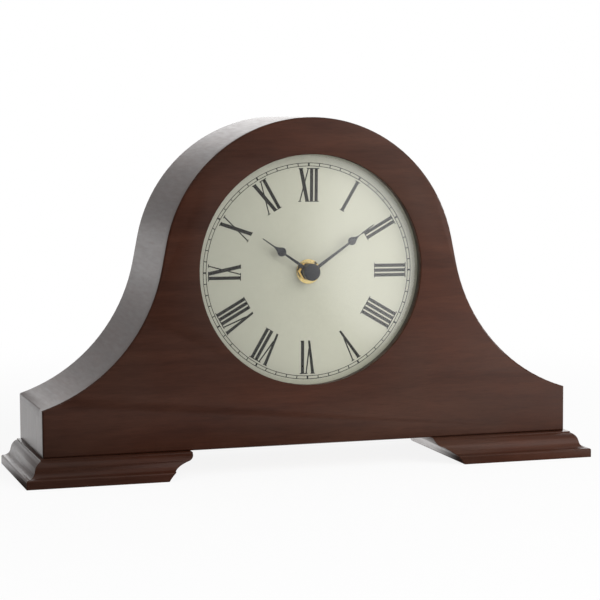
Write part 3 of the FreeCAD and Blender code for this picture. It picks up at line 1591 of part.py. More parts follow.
def hinge_leaves(side):
    """The two leaves on one side: -1 on the board, with end knuckles, 1 on the door, with the middle one."""
    third = "(hinge_height / 3)"
    gap = "hinge_knuckle_gap"
    leaves = []
    for centre in hinge_centres():
        low = f"{centre} - hinge_height / 2"
        x = LEAF_INNER if side > 0 else "-hinge_leaf_width"
        plate = block(f"hinge_leaf_width - {LEAF_INNER}", "hinge_leaf_thickness", "hinge_height", x, "0", low)
        spans = [(f"{low} + {third} + {gap}", f"{third} - 2 * {gap}")]
        if side < 0:
            spans = [(low, third), (f"{low} + 2 * {third}", third)]
        knuckles = []
        for start, height in spans:
            knuckles.append(rod("hinge_barrel_radius", height, "0", "hinge_axis_lift", start, along="z"))
            web_x = "0" if side > 0 else "-" + LEAF_INNER
            knuckles.append(block(LEAF_INNER, "hinge_leaf_thickness", height, web_x, "0", start))
        clearance = " + running_clearance" if side > 0 else ""
        bore = rod(
            f"hinge_pin_radius{clearance}", "hinge_height", "0", "hinge_axis_lift", low, along="z"
        )
        holes = [
            rod("hinge_screw_radius", "hinge_leaf_thickness", f"{'' if side > 0 else '-'}{LEAF_MIDDLE}",
                "0", f"{centre} {sign} hinge_screw_spacing / 2")
            for sign in ("+", "-")
        ]
        leaves.append(cut(fuse(plate, *knuckles), bore, *holes))
    return group(*leaves)


def make_hinges():
    y = deep(f"{BACK_BOARD_DEPTH} + back_board_thickness")
    keep("frame_hinge_leaves", hinge_leaves(-1), HINGE_AXIS_X, y)
    keep("door_hinge_leaves", hinge_leaves(1), HINGE_AXIS_X, y)
    pins = []
    for centre in hinge_centres():
        low = f"{centre} - hinge_height / 2"
        pins.append(rod("hinge_pin_radius", "hinge_height", "0", "hinge_axis_lift", low, along="z"))
    keep("hinge_pins", group(*pins), HINGE_AXIS_X, y)
    for node, side in (("frame_hinge_screws", "-"), ("door_hinge_screws", "")):
        screws = []
        for x, z in hinge_screw_places():
            screw = slotted_screw(
                "hinge_screw_radius",
                "hinge_screw_length + hinge_leaf_thickness",
                "hinge_screw_head_radius",
                "hinge_screw_head_height",
                "y",
            )
            screws.append(put(turned_round(screw), f"{side}{x}", "0", z))
        head_y = deep(
            f"{BACK_BOARD_DEPTH} + back_board_thickness + hinge_leaf_thickness + hinge_screw_head_height"
        )
        keep(node, group(*screws), HINGE_AXIS_X, head_y)


def make_door():
    """The door, with slots over the speaker, and what is fixed to it."""
    width = "(2 * (door_half_width - door_gap))"
    height = "(door_height - 2 * door_gap)"
    plate = rounded_plate(width, height, "back_board_thickness", "door_corner_radius")
    low = f"({DOOR_TOP} - door_height + door_gap)"
    left = "(door_gap - door_half_width)"
    tools = []
    for index in range(int(val("door_slots"))):
        shift = f"({index} - (door_slots - 1) / 2) * door_slot_pitch"
        tools.append(block(
            "door_slot_length", "back_board_thickness", "door_slot_width",
            f"-speaker_x - door_slot_length / 2 - {left}", "0",
            f"{CENTRE_Z} + speaker_z + {shift} - door_slot_width / 2 - {low}",
        ))
    for x, z in hinge_screw_places():
        tools.append(rod(
            "hinge_screw_radius", "hinge_screw_length", f"{HINGE_AXIS_X} + {x} - {left}",
            "back_board_thickness - hinge_screw_length", f"{z} - {low}",
        ))
    keep("back_door", cut(plate, *tools), left, deep(BACK_BOARD_DEPTH), low)
    cloth = block("cloth_side", "cloth_thickness", "cloth_side")
    keep(
        "speaker_cloth", cloth, "-speaker_x - cloth_side / 2",
        deep(f"{BACK_BOARD_DEPTH} - cloth_thickness"), f"{CENTRE_Z} + speaker_z - cloth_side / 2",
    )
    middle = f"{DOOR_TOP} - door_height / 2"
    stem = rod("pull_stem_radius", "pull_stem_height")
    head = rod("pull_radius", "pull_height - pull_stem_height", y="pull_stem_height")
    back_y = deep(f"{BACK_BOARD_DEPTH} + back_board_thickness")
    keep("door_pull", fuse(stem, head), "door_half_width - door_gap - pull_edge", back_y, middle)
    strike = block("strike_width", "strike_thickness", "strike_height")
    keep(
        "strike_plate", strike, "door_half_width - door_gap - strike_width",
        deep(f"{BACK_BOARD_DEPTH} - strike_thickness"), f"{middle} - strike_height / 2",
    )
    magnet = block("magnet_width", "magnet_depth", "magnet_height")
    notch = block(
        "magnet_reach + door_gap", "strike_thickness + strike_gap", "magnet_height",
        "-door_gap", "magnet_depth - strike_thickness - strike_gap",
    )
    keep(
        "magnet_catch", cut(magnet, notch), "door_half_width - magnet_reach",
        deep(f"{BACK_BOARD_DEPTH} - magnet_depth"), f"{middle} - magnet_height / 2",
    )


def check_document():
    """Stop if any object failed or any node's shape is empty or not valid."""
    doc.recompute()
    for item in doc.Objects:
        if any(state in ("Invalid", "Error") for state in item.State):
            raise RuntimeError(f"{item.Label} failed: {item.State}")
    labels = [item.Label for item in NODES]
    if len(set(labels)) != len(labels) or len(labels) > NODE_LIMIT:
        raise RuntimeError("node names repeat or there are too many")
    for item in NODES:
        if item.Shape.isNull() or not item.Shape.isValid() or not item.Shape.Solids:
            raise RuntimeError(f"{item.Label} has no valid solid")


def main():
    make_front_board()
    make_band()
    make_end_panel("left_end_panel", True)
    make_end_panel("right_end_panel", False)
    make_bottom_board()
    make_glue_blocks()
    make_foot("left_foot", True)
    make_foot("right_foot", False)
    make_foot_screws()
    make_lens()
    make_spacer()
    make_dial()
    make_backing()
    make_dial_screws()
    make_hub_fittings()
    make_bush()
    make_cap()
    make_hands()
    make_train()
    make_front_case()
    make_bridge()
    make_stator()
    make_coil()
    make_circuit()
    make_cover()
    make_slide("chime_selector", "selector_z")
    make_slide("volume_slide", "volume_z")
    make_setting_knob()
    make_cells()
    make_contacts()
    make_speaker()
    make_back_board()
    make_hinges()
    make_door()
    check_document()
    os.makedirs("parts", exist_ok=True)
    for item in NODES:
        item.Shape.exportStep(f"parts/{item.Label}.step")
    print(len(NODES), "nodes written")


main()
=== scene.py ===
import math

import bmesh
import bpy
from mathutils import Matrix, Vector


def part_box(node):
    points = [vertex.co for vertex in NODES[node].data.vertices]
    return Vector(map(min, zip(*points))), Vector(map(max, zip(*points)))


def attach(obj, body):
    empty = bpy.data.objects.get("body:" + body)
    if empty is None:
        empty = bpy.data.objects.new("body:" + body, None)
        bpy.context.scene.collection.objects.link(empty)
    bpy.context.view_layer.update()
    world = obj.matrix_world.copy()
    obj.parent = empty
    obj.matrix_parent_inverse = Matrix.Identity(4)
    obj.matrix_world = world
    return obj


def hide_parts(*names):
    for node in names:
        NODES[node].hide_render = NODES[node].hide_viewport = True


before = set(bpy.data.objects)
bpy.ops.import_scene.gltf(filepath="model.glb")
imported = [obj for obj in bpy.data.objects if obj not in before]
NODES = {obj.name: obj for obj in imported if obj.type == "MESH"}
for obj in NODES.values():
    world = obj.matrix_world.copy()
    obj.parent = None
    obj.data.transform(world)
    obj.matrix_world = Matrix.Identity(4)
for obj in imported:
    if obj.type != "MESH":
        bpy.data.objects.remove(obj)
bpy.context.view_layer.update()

# A tambour mantel clock: dark lacquered wood, cream dial under a domed glass.
# Everything is in metres, X to the right, Y to the back, Z up.

MM = 0.001
ROOT = "clock"

# The camera stands left of the middle and looks a little down.
CAMERA_PLACE = Vector((-0.3941, -1.3070, 0.2366))
CAMERA_YAW = math.radians(16.873)
CAMERA_PITCH = math.radians(5.387)
CAMERA_ROLL = math.radians(0.318)
CAMERA_LENS = 123.594
CAMERA_SENSOR = 36.0

# The printed dial, turned a little clockwise. Radii are measured from the hands' axis.
DIAL_TURN = math.radians(0.7)
TRACK_OUTER = 70.5 * MM
TRACK_INNER = 68.5 * MM
TRACK_LINE = 0.42 * MM
TRACK_STEPS = 240
TICK_WIDTH = 0.6 * MM
HOUR_TICK_WIDTH = 1.1 * MM
INK_HEIGHTS = {"thick": 0.05 * MM, "thin": 0.04 * MM, "serif": 0.03 * MM}

# Its numerals, which all have their feet towards the hands' axis
NUMERALS = ("I", "II", "III", "IIII", "V", "VI", "VII", "VIII", "IX", "X", "XI", "XII")
NUMERAL_INNER = 45.3 * MM
NUMERAL_OUTER = 67.2 * MM
THICK_STROKE = 2.15 * MM
HALF_STROKE = THICK_STROKE / 2
THIN_STROKE = 0.8 * MM
STROKE_PITCH = 3.15 * MM
SERIF_HEIGHT = 0.6 * MM
FOOT_SERIF_HEIGHT = 0.8 * SERIF_HEIGHT
SERIF_REACH = 0.85 * MM
SHORT_SERIF_REACH = 0.4 * MM
CROSS_HALF_WIDTH = 2.25 * MM
CROSS_STROKE = 1.12 * THICK_STROKE
THIN_ARM_REACH = 2.9 * MM
VEE_WIDTH = 6.9 * MM
VEE_THIN_INSET = 0.4 * THICK_STROKE
VEE_POINT_SHIFT = 0.3 * THICK_STROKE
VEE_POINT_HALF = 0.34 * THICK_STROKE
VEE_OVERLAP = 0.4 * THIN_STROKE
VEE_MEETING_SHARE = 0.25
LETTER_WIDTHS = {
    "I": STROKE_PITCH,
    "X": 2 * CROSS_HALF_WIDTH + THICK_STROKE + SHORT_SERIF_REACH,
    "V": VEE_WIDTH,
}

# Painted shade: the dial's cream is darker towards its left edge, as if less light fell there.
DIAL_SHADE_REACH = (-0.060, 0.030)
DIAL_LEFT_SHADE = 0.72

# How far edges are rounded, and how near an edge a corner counts as on it
SHARP_EDGE = math.radians(25)
FRONT_EASE = 0.7 * MM
CORNER_EASE = 0.9 * MM
FOOT_EASE = 0.35 * MM
EASE_SEGMENTS = 3
CLOSE = 0.02 * MM
MERGE_DISTANCE = 0.002 * MM
FLAT_ANGLE = math.radians(1.0)

# The pull's outline from the door outwards, as shares of its radius and its depth
PULL_OUTLINE_SHARES = (
    (0, 0), (0.52, 0), (0.46, 0.14), (0.44, 0.26), (0.50, 0.36), (0.80, 0.42), (0.95, 0.52),
    (1.0, 0.64), (0.97, 0.77), (0.86, 0.89), (0.64, 0.96), (0.34, 0.99), (0, 1),
)
PULL_STEPS = 64

# The battery contact: its plate's thickness, its wire and its coil
CONTACT_PLATE = 0.5 * MM
SPRING_WIRE_RADIUS = 0.42 * MM
SPRING_RADIUS = 2.95 * MM
SPRING_TURNS = 4
SPRING_TURN_STEPS = 32
SPRING_WIRE_SIDES = 10
SPRING_CREASE = math.radians(40)

# The cells lie end to end from X = 0. The inset keeps their end faces off the start of the pattern.
CELL_LENGTH = 50.5 * MM
CELL_INSET = 0.05 * MM

# Domed glass
GLASS_WALL = 2.0 * MM
GLASS_DOME_RADIUS = 74.2 * MM
GLASS_ROUND_STEPS = 192
GLASS_ARC_STEPS = 26
GLASS_CREASE = math.radians(30)

# The cloth behind the sound slots
CLOTH_STEPS = 44
CLOTH_SLACK = 0.12 * MM

# Textures. Their places are in metres, so a scale of 100 gives a pattern of about 10 mm.
WHITE = (1.0, 1.0, 1.0)
NOISE_REACH = (0.3, 0.7)
GRAIN_STRETCH = 9
PORE_STRETCH = 22
FIGURE_SCALE = 9.0
STREAK_SCALE = 60.0
PORE_SCALE = 130.0
PATCH_SCALE = 13.0
# Where the painted light on the wood grows from left to right, in X
LIGHT_DRIFT_REACH = (-0.10, 0.09)
GRAIN_DEPTH = 0.01 * MM
MARK_DEPTH = 0.01 * MM


def box_corners(node):
    return [Vector(corner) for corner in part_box(node)]


def box_middle(node):
    low, high = box_corners(node)
    return (low + high) / 2


# Nodes of a material


def new_material(name):
    material = bpy.data.materials.new(name)
    material.use_nodes = True
    return material, material.node_tree, material.node_tree.nodes["Principled BSDF"]


def add_node(tree, kind, **settings):
    node = tree.nodes.new(kind)
    for key, value in settings.items():
        setattr(node, key, value)
    return node


def feed(tree, socket, value):
    """Set a socket to a number, or link it to the socket that gives the number."""
    if isinstance(value, float):
        socket.default_value = value
    else:
        tree.links.new(value, socket)


def join(tree, operation, first, second):
    """A number made of two others."""
    node = add_node(tree, "ShaderNodeMath", operation=operation)
    feed(tree, node.inputs[0], first)
    feed(tree, node.inputs[1], second)
    return node.outputs[0]


def choose(tree, factor, first, second):
    """A number: first where the factor is 0, second where it is 1."""
    node = add_node(tree, "ShaderNodeMix", data_type="FLOAT")
    tree.links.new(factor, node.inputs["Factor"])
    feed(tree, node.inputs["A"], first)
    feed(tree, node.inputs["B"], second)
    return node.outputs["Result"]


def coordinates(tree, stretch=(1, 1, 1), turn=(0, 0, 0)):
    """Places on the object in metres, stretched along its axes and turned."""
    source = add_node(tree, "ShaderNodeTexCoord")
    mapping = add_node(tree, "ShaderNodeMapping")
    mapping.inputs["Scale"].default_value = stretch
    mapping.inputs["Rotation"].default_value = turn
    tree.links.new(source.outputs["Object"], mapping.inputs["Vector"])
    return mapping.outputs["Vector"]


def axes_of(tree, vector):
    """A vector's X, Y and Z."""
    node = add_node(tree, "ShaderNodeSeparateXYZ")
    tree.links.new(vector, node.inputs["Vector"])
    return node.outputs


def vector_math(tree, operation, vector, other=None):
    """What an operation gives for a vector, or for it and a constant one."""
    node = add_node(tree, "ShaderNodeVectorMath", operation=operation)
    tree.links.new(vector, node.inputs[0])
    if other is not None:
        node.inputs[1].default_value = other
    return node.outputs


def noise(tree, scale, detail=3.0, stretch=(1, 1, 1), warp=0.0):
    node = add_node(tree, "ShaderNodeTexNoise")
    node.inputs["Scale"].default_value = scale
    node.inputs["Detail"].default_value = detail
    node.inputs["Distortion"].default_value = warp
    tree.links.new(coordinates(tree, stretch), node.inputs["Vector"])
    return node.outputs["Fac"]


def bands(tree, direction, scale, warp):
    """Soft stripes that follow each other along an axis."""
    node = add_node(tree, "ShaderNodeTexWave", wave_type="BANDS", bands_direction=direction)
    node.inputs["Scale"].default_value = scale
    node.inputs["Distortion"].default_value = warp
    tree.links.new(coordinates(tree), node.inputs["Vector"])
    return node.outputs["Fac"]


def ramp(tree, factor, places, colours):
    """Each colour where the factor has the value of its place, and blends between them."""
    node = add_node(tree, "ShaderNodeValToRGB")
    elements = node.color_ramp.elements
    while len(elements) < len(places):
        elements.new(0.5)
    for element, place, colour in zip(elements, places, colours):
        element.position = place
        element.color = (*colour, 1.0)
    tree.links.new(factor, node.inputs["Fac"])
    return node.outputs["Color"]


def spread(tree, factor, low, high, start=0.0, end=1.0, smooth=False):
    """The factor from start to end as a number from low to high."""
    kind = "SMOOTHSTEP" if smooth else "LINEAR"
    node = add_node(tree, "ShaderNodeMapRange", interpolation_type=kind)
    for socket, value in zip(("From Min", "From Max", "To Min", "To Max"), (start, end, low, high)):
        node.inputs[socket].default_value = value
    tree.links.new(factor, node.inputs["Value"])
    return node.outputs["Result"]


def blend_colours(tree, share, first, second, mode="MIX"):
    """Two colours blended, with a share of the second."""
    node = add_node(tree, "ShaderNodeMix", data_type="RGBA", blend_type=mode)
    node.inputs["Factor"].default_value = share
    tree.links.new(first, node.inputs["A"])
    tree.links.new(second, node.inputs["B"])
    return node.outputs["Result"]


def multiply(tree, first, second):
    return blend_colours(tree, 1.0, first, second, "MULTIPLY")


def tint_across(tree, reach, left, right):
    """A tint that changes from the left end of the reach to its right end."""
    across = spread(tree, axes_of(tree, coordinates(tree))["X"], 0.0, 1.0, *reach, smooth=True)
    return ramp(tree, across, (0.0, 1.0), (left, right))


def deepen(colour, share):
    return tuple(part * share for part in colour)


def vary_gloss(tree, shader, factor, gloss):
    """Roughness between two values, as far as a noise usually reaches."""
    tree.links.new(spread(tree, factor, *gloss, *NOISE_REACH), shader.inputs["Roughness"])


def raise_surface(tree, shader, height, depth):
    node = add_node(tree, "ShaderNodeBump")
    node.inputs["Strength"].default_value = 1.0
    node.inputs["Distance"].default_value = depth
    tree.links.new(height, node.inputs["Height"])
    tree.links.new(node.outputs["Normal"], shader.inputs["Normal"])


def mix_shaders(tree, factor, first, second):
    """End the material in first where the factor is 0 and in second where it is 1."""
    mixed = add_node(tree, "ShaderNodeMixShader")
    tree.links.new(factor, mixed.inputs["Fac"])
    tree.links.new(first, mixed.inputs[1])
    tree.links.new(second, mixed.inputs[2])
    tree.links.new(mixed.outputs["Shader"], tree.nodes["Material Output"].inputs["Surface"])


# Materials


def wood(name, dark, middle, light, along="x", gloss=(0.30, 0.42), pores=0.5, streaking=0.5,
         level=0.5, painted_light_drift=None, patches=None):
    """Stained wood: long streaks of grain with fine dark pores, under lacquer.

    The drift colour multiplies the stain at its right end and fades in from the left: painted light,
    lighter towards the right where the light falls.
    patches are two colours between which the stain is multiplied in wide soft patches.
    """
    material, tree, shader = new_material(name)
    stains = (dark, middle, light)
    grain_way, pore_way = (
        tuple(1 if axis == along else stretch for axis in "xyz")
        for stretch in (GRAIN_STRETCH, PORE_STRETCH)
    )
    figure = noise(tree, FIGURE_SCALE, 4.0, grain_way, warp=0.6)
    streaks = noise(tree, STREAK_SCALE, 5.0, grain_way, warp=0.2)
    pore = noise(tree, PORE_SCALE, 3.0, pore_way)
    broad = ramp(tree, figure, (0.32, 0.52, 0.72), stains)
    fine = ramp(tree, streaks, (0.36, 0.55, 0.7), stains)
    shade = ramp(tree, pore, (0.34, 0.46), (deepen(WHITE, 1 - pores), WHITE))
    colour = multiply(tree, blend_colours(tree, streaking, broad, fine), shade)
    if painted_light_drift:
        colour = multiply(tree, colour, tint_across(tree, LIGHT_DRIFT_REACH, WHITE, painted_light_drift))
    if patches:
        wide = ramp(tree, noise(tree, PATCH_SCALE, 2.0), (0.36, 0.64), patches)
        colour = multiply(tree, colour, wide)
    tree.links.new(colour, shader.inputs["Base Color"])
    shader.inputs["Specular IOR Level"].default_value = level
    vary_gloss(tree, shader, streaks, gloss)
    raise_surface(tree, shader, streaks, GRAIN_DEPTH)
    return material


def metal(name, colour, gloss, scale=900.0, stretch=(1, 1, 1)):
    """Metal with the faint marks of its finish."""
    material, tree, shader = new_material(name)
    marks = noise(tree, scale, 4.0, stretch)
    stain = ramp(tree, marks, (0.35, 0.6), (deepen(colour, 0.82), colour))
    tree.links.new(stain, shader.inputs["Base Color"])
    shader.inputs["Metallic"].default_value = 1.0
    vary_gloss(tree, shader, marks, gloss)
    raise_surface(tree, shader, marks, MARK_DEPTH)
    return material


def moulded(name, colour, gloss, grain=2200.0, depth=0.02 * MM, level=0.5):
    """Plastic, paint, rubber or card with a fine even texture."""
    material, tree, shader = new_material(name)
    texture = noise(tree, grain, 3.0)
    clouds = ramp(tree, noise(tree, 25.0, 2.0), NOISE_REACH, (deepen(colour, 0.86), colour))
    tree.links.new(clouds, shader.inputs["Base Color"])
    shader.inputs["Specular IOR Level"].default_value = level
    vary_gloss(tree, shader, texture, gloss)
    raise_surface(tree, shader, texture, depth)
    return material


def clear_glass():
    """Glass that lets lamps through."""
    material, tree, shader = new_material("clear_glass")
    shader.inputs["Base Color"].default_value = (0.98, 0.99, 0.985, 1.0)
    shader.inputs["Transmission Weight"].default_value = 1.0
    shader.inputs["IOR"].default_value = 1.5
    shader.inputs["Roughness"].default_value = 0.0
    path = add_node(tree, "ShaderNodeLightPath")
    lighting = join(tree, "MAXIMUM", path.outputs["Is Shadow Ray"], path.outputs["Is Diffuse Ray"])
    through = add_node(tree, "ShaderNodeBsdfTransparent")
    through.inputs["Color"].default_value = (0.93, 0.94, 0.935, 1.0)
    mix_shaders(tree, lighting, shader.outputs["BSDF"], through.outputs["BSDF"])
    return material


def case_finish(name, along):
    return wood(
        name,
        dark=(0.027, 0.0092, 0.0052),
        middle=(0.038, 0.0132, 0.0074),
        light=(0.048, 0.0172, 0.0096),
        along=along,
        gloss=(0.30, 0.36),
        pores=0.2,
        streaking=0.3,
        level=0.18,
        # Painted light: the case is lighter towards its right, where the light falls
        painted_light_drift=(1.4, 1.42, 1.42),
        patches=((1.06, 0.97, 0.90), (0.98, 1.12, 1.22)),
    )


def cell_jacket():
    """A plain two-tone sleeve: dark over most of the cell, brass-coloured at the plus end."""
    material, tree, shader = new_material("cell_jacket_finish")
    inset = join(tree, "SUBTRACT", axes_of(tree, coordinates(tree))["X"], CELL_INSET)
    place = spread(tree, join(tree, "FLOORED_MODULO", inset, CELL_LENGTH), 0.0, 1.0, 0.0, CELL_LENGTH)
    sleeve = ramp(tree, place, (0.68, 0.69), ((0.02, 0.022, 0.026), (0.55, 0.36, 0.16)))
    tree.links.new(sleeve, shader.inputs["Base Color"])
    shader.inputs["Metallic"].default_value = 0.6
    marks = noise(tree, 160.0)
    vary_gloss(tree, shader, marks, (0.24, 0.34))
    raise_surface(tree, shader, marks, 0.002 * MM)
    return material


def wound_wire():
    """Copper wire laid side by side along the coil."""
    material, tree, shader = new_material("coil_finish")
    turns = bands(tree, "X", 900.0, 0.6)
    copper = ramp(tree, turns, (0.2, 0.7), ((0.30, 0.09, 0.03), (0.72, 0.30, 0.12)))
    tree.links.new(copper, shader.inputs["Base Color"])
    shader.inputs["Metallic"].default_value = 0.9
    shader.inputs["Roughness"].default_value = 0.3
    raise_surface(tree, shader, turns, 0.1 * MM)
    return material


def printed_board():
    """Green lacquer with copper tracks that show as paler lines."""
    material, tree, shader = new_material("board_finish")
    tracks = add_node(tree, "ShaderNodeTexBrick", offset=0.35)
    tracks.inputs["Scale"].default_value = 210.0
    tracks.inputs["Mortar Size"].default_value = 0.035
    tracks.inputs["Color1"].default_value = (0.010, 0.090, 0.035, 1.0)
    tracks.inputs["Color2"].default_value = (0.012, 0.105, 0.040, 1.0)
    tracks.inputs["Mortar"].default_value = (0.035, 0.24, 0.09, 1.0)
    tree.links.new(coordinates(tree, turn=(math.radians(90), 0, 0)), tracks.inputs["Vector"])
    tree.links.new(tracks.outputs["Color"], shader.inputs["Base Color"])
    tree.links.new(spread(tree, tracks.outputs["Fac"], 0.25, 0.4), shader.inputs["Roughness"])
    raise_surface(tree, shader, tracks.outputs["Fac"], 0.03 * MM)
    return material


def woven(name, colour):
    """Two crossed sets of threads."""
    material, tree, shader = new_material(name)
    threads = join(tree, "MAXIMUM", *(bands(tree, direction, 420.0, 0.4) for direction in "XZ"))
    shade = ramp(tree, threads, (0.3, 0.9), (deepen(colour, 0.3), colour))
    tree.links.new(shade, shader.inputs["Base Color"])
    shader.inputs["Roughness"].default_value = 0.9
    shader.inputs["Sheen Weight"].default_value = 0.3
    raise_surface(tree, shader, threads, 0.15 * MM)
    return material


def dial_cream():
    """Cream paint with a faint mottle, and painted shade that darkens it towards the left."""
    material, tree, shader = new_material("dial_paint")
    mottle = noise(tree, 420.0, 4.0)
    base = ramp(tree, mottle, NOISE_REACH, ((0.560, 0.542, 0.440), (0.595, 0.576, 0.468)))
    clouds = ramp(tree, noise(tree, 12.0, 2.0), NOISE_REACH, ((0.97, 0.97, 0.96), WHITE))
    # Painted shade: darker towards the left edge of the dial
    left_shade = tint_across(tree, DIAL_SHADE_REACH, deepen(WHITE, DIAL_LEFT_SHADE), WHITE)
    tree.links.new(multiply(tree, multiply(tree, base, clouds), left_shade), shader.inputs["Base Color"])
    vary_gloss(tree, shader, mottle, (0.48, 0.58))
    raise_surface(tree, shader, mottle, 0.002 * MM)
    return material


def dress(material, *names):
    """Give CAD nodes a finish."""
    for name in names:
        for holder in NODES[name].material_slots:
            holder.material = material


# Meshes


def link_mesh(name, shape, material):
    """Make an object of a bmesh."""
    mesh = bpy.data.meshes.new(name)
    shape.to_mesh(mesh)
    shape.free()
    mesh.materials.append(material)
    piece = bpy.data.objects.new(name, mesh)
    bpy.context.scene.collection.objects.link(piece)
    return piece


def mesh_piece(name, shape, material, body):
    """Make a piece of the clock, riding on its body."""
    piece = link_mesh(name, shape, material)
    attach(piece, body)
    return piece


def smooth_with_creases(piece, angle):
    """Smooth shading, but for edges sharper than the angle."""
    piece.data.shade_smooth()
    crease = piece.modifiers.new("Crease", "EDGE_SPLIT")
    crease.split_angle = angle


def outward_normals(shape):
    bmesh.ops.recalc_face_normals(shape, faces=shape.faces)


def add_prism(shape, outline, back, front):
    """A flat piece seen from the front: its outline in X and Z, and its back and front in Y."""
    rear = [shape.verts.new((x, back, z)) for x, z in outline]
    fore = [shape.verts.new((x, front, z)) for x, z in outline]
    shape.faces.new(fore)
    shape.faces.new(rear[::-1])
    for index in range(len(outline)):
        after = (index + 1) % len(outline)
        shape.faces.new((rear[index], rear[after], fore[after], fore[index]))


def add_circle(shape, centre, radius, y, steps):
    """Corners about the Y axis through the centre, or one corner where the radius is 0."""
    ring = []
    for step in range(steps if radius else 1):
        turn = 2 * math.pi * step / steps
        x = centre.x + radius * math.cos(turn)
        z = centre.z + radius * math.sin(turn)
        ring.append(shape.verts.new((x, y, z)))
    return ring


def join_rings(shape, rings):
    """Faces between each ring of corners and the next."""
    for first, second in zip(rings, rings[1:]):
        steps = max(len(first), len(second))
        for step in range(steps):
            after = (step + 1) % steps
            corners = [first[step % len(first)], first[after % len(first)]]
            corners += [second[after % len(second)], second[step % len(second)]]
            shape.faces.new(list(dict.fromkeys(corners)))


def add_ring(shape, centre, inner, outer, back, front):
    """A flat ring about a centre in X and Z."""
    profile = ((inner, front), (outer, front), (outer, back), (inner, back))
    rings = [add_circle(shape, centre, radius, y, TRACK_STEPS) for radius, y in profile]
    join_rings(shape, rings + rings[:1])


def revolve(profile, centre, steps):
    """A profile of radius and Y turned about the Y axis through the centre."""
    shape = bmesh.new()
    join_rings(shape, [add_circle(shape, centre, radius, y, steps) for radius, y in profile])
    outward_normals(shape)
    return shape


# Dial artwork. Strokes are outlines in U, to the right of the numeral's radius, and V, along it.


def slanted(low_middle, high_middle, width):
    """A stroke from the numeral's foot to its head."""
    half = width / 2
    return [
        (low_middle - half, NUMERAL_INNER),
        (low_middle + half, NUMERAL_INNER),
        (high_middle + half, NUMERAL_OUTER),
        (high_middle - half, NUMERAL_OUTER),
    ]


def serif(start, end, outer):
    """A thin bar at the numeral's head, or at its foot."""
    low, high = NUMERAL_INNER, NUMERAL_INNER + FOOT_SERIF_HEIGHT
    if outer:
        low, high = NUMERAL_OUTER - SERIF_HEIGHT, NUMERAL_OUTER
    return ("serif", [(start, low), (end, low), (end, high), (start, high)])


def letter_x(middle):
    """The cross: thick from outer left to inner right, thin the other way."""
    left, right = middle - CROSS_HALF_WIDTH, middle + CROSS_HALF_WIDTH
    thin_left, thin_right = middle - THIN_ARM_REACH, middle + THIN_ARM_REACH
    reach = HALF_STROKE + SHORT_SERIF_REACH
    return [
        ("thick", slanted(right, left, CROSS_STROKE)),
        ("thin", slanted(thin_left, thin_right, THIN_STROKE)),
        serif(left - reach, left + reach, True),
        serif(right - reach, right + reach, False),
        serif(thin_right - HALF_STROKE, thin_right + HALF_STROKE, True),
        serif(thin_left - HALF_STROKE, thin_left + HALF_STROKE, False),
    ]


def letter_v(middle):
    """The vee: a thick left arm that narrows to the point, and a thin right arm that meets it."""
    left = middle - VEE_WIDTH / 2 + SHORT_SERIF_REACH
    inner = left + THICK_STROKE
    right = middle + VEE_WIDTH / 2 - VEE_THIN_INSET
    point = middle + VEE_POINT_SHIFT
    tip = point + VEE_POINT_HALF
    meeting = NUMERAL_INNER + (NUMERAL_OUTER - NUMERAL_INNER) * VEE_MEETING_SHARE
    edge = tip + (inner - tip) * VEE_MEETING_SHARE
    thick_arm = [
        (point - VEE_POINT_HALF, NUMERAL_INNER),
        (tip, NUMERAL_INNER),
        (inner, NUMERAL_OUTER),
        (left, NUMERAL_OUTER),
    ]
    thin_arm = [
        (edge - THIN_STROKE, meeting - THIN_STROKE),
        (edge + VEE_OVERLAP, meeting),
        (right + THIN_STROKE / 2, NUMERAL_OUTER),
        (right - THIN_STROKE / 2, NUMERAL_OUTER),
    ]
    return [
        ("thick", thick_arm),
        ("thin", thin_arm),
        serif(left - SHORT_SERIF_REACH, inner + SHORT_SERIF_REACH, True),
        serif(right - HALF_STROKE, right + HALF_STROKE, True),
    ]


def numeral_strokes(letters):
    """All strokes of one numeral, centred on its radius."""
    start = -sum(LETTER_WIDTHS[letter] for letter in letters) / 2
    strokes, uprights = [], []
    for letter in letters:
        width = LETTER_WIDTHS[letter]
        middle = start + width / 2
        if letter == "I":
            strokes.append(("thick", slanted(middle, middle, THICK_STROKE)))
            uprights.append(middle)
        elif letter == "X":
            strokes += letter_x(middle)
        else:
            strokes += letter_v(middle)
        start += width
    if uprights:
        first, last = uprights[0], uprights[-1]
        reach = HALF_STROKE + SERIF_REACH
        strokes.append(serif(first - reach, last + reach, True))
        if "V" in letters:
            strokes.append(serif(first - HALF_STROKE, last + HALF_STROKE + SHORT_SERIF_REACH, False))
        else:
            strokes.append(serif(first - reach, last + reach, False))
    return strokes


def dial_outline(outline, centre, degrees):
    """An outline in U and V as places in X and Z. The degrees count from the right, anticlockwise."""
    turn = math.radians(degrees) - DIAL_TURN
    outwards = Vector((math.cos(turn), 0, math.sin(turn)))
    across = Vector((math.sin(turn), 0, -math.cos(turn)))
    corners = [centre + outwards * v + across * u for u, v in outline]
    return [(corner.x, corner.z) for corner in corners]


def make_numerals(ink, centre, plane):
    shape = bmesh.new()
    for hour, letters in enumerate(NUMERALS, 1):
        for kind, outline in numeral_strokes(letters):
            corners = dial_outline(outline, centre, 90 - hour * 360 / 12)
            add_prism(shape, corners, plane, plane - INK_HEIGHTS[kind])
    outward_normals(shape)
    mesh_piece("dial_numerals", shape, ink, ROOT)


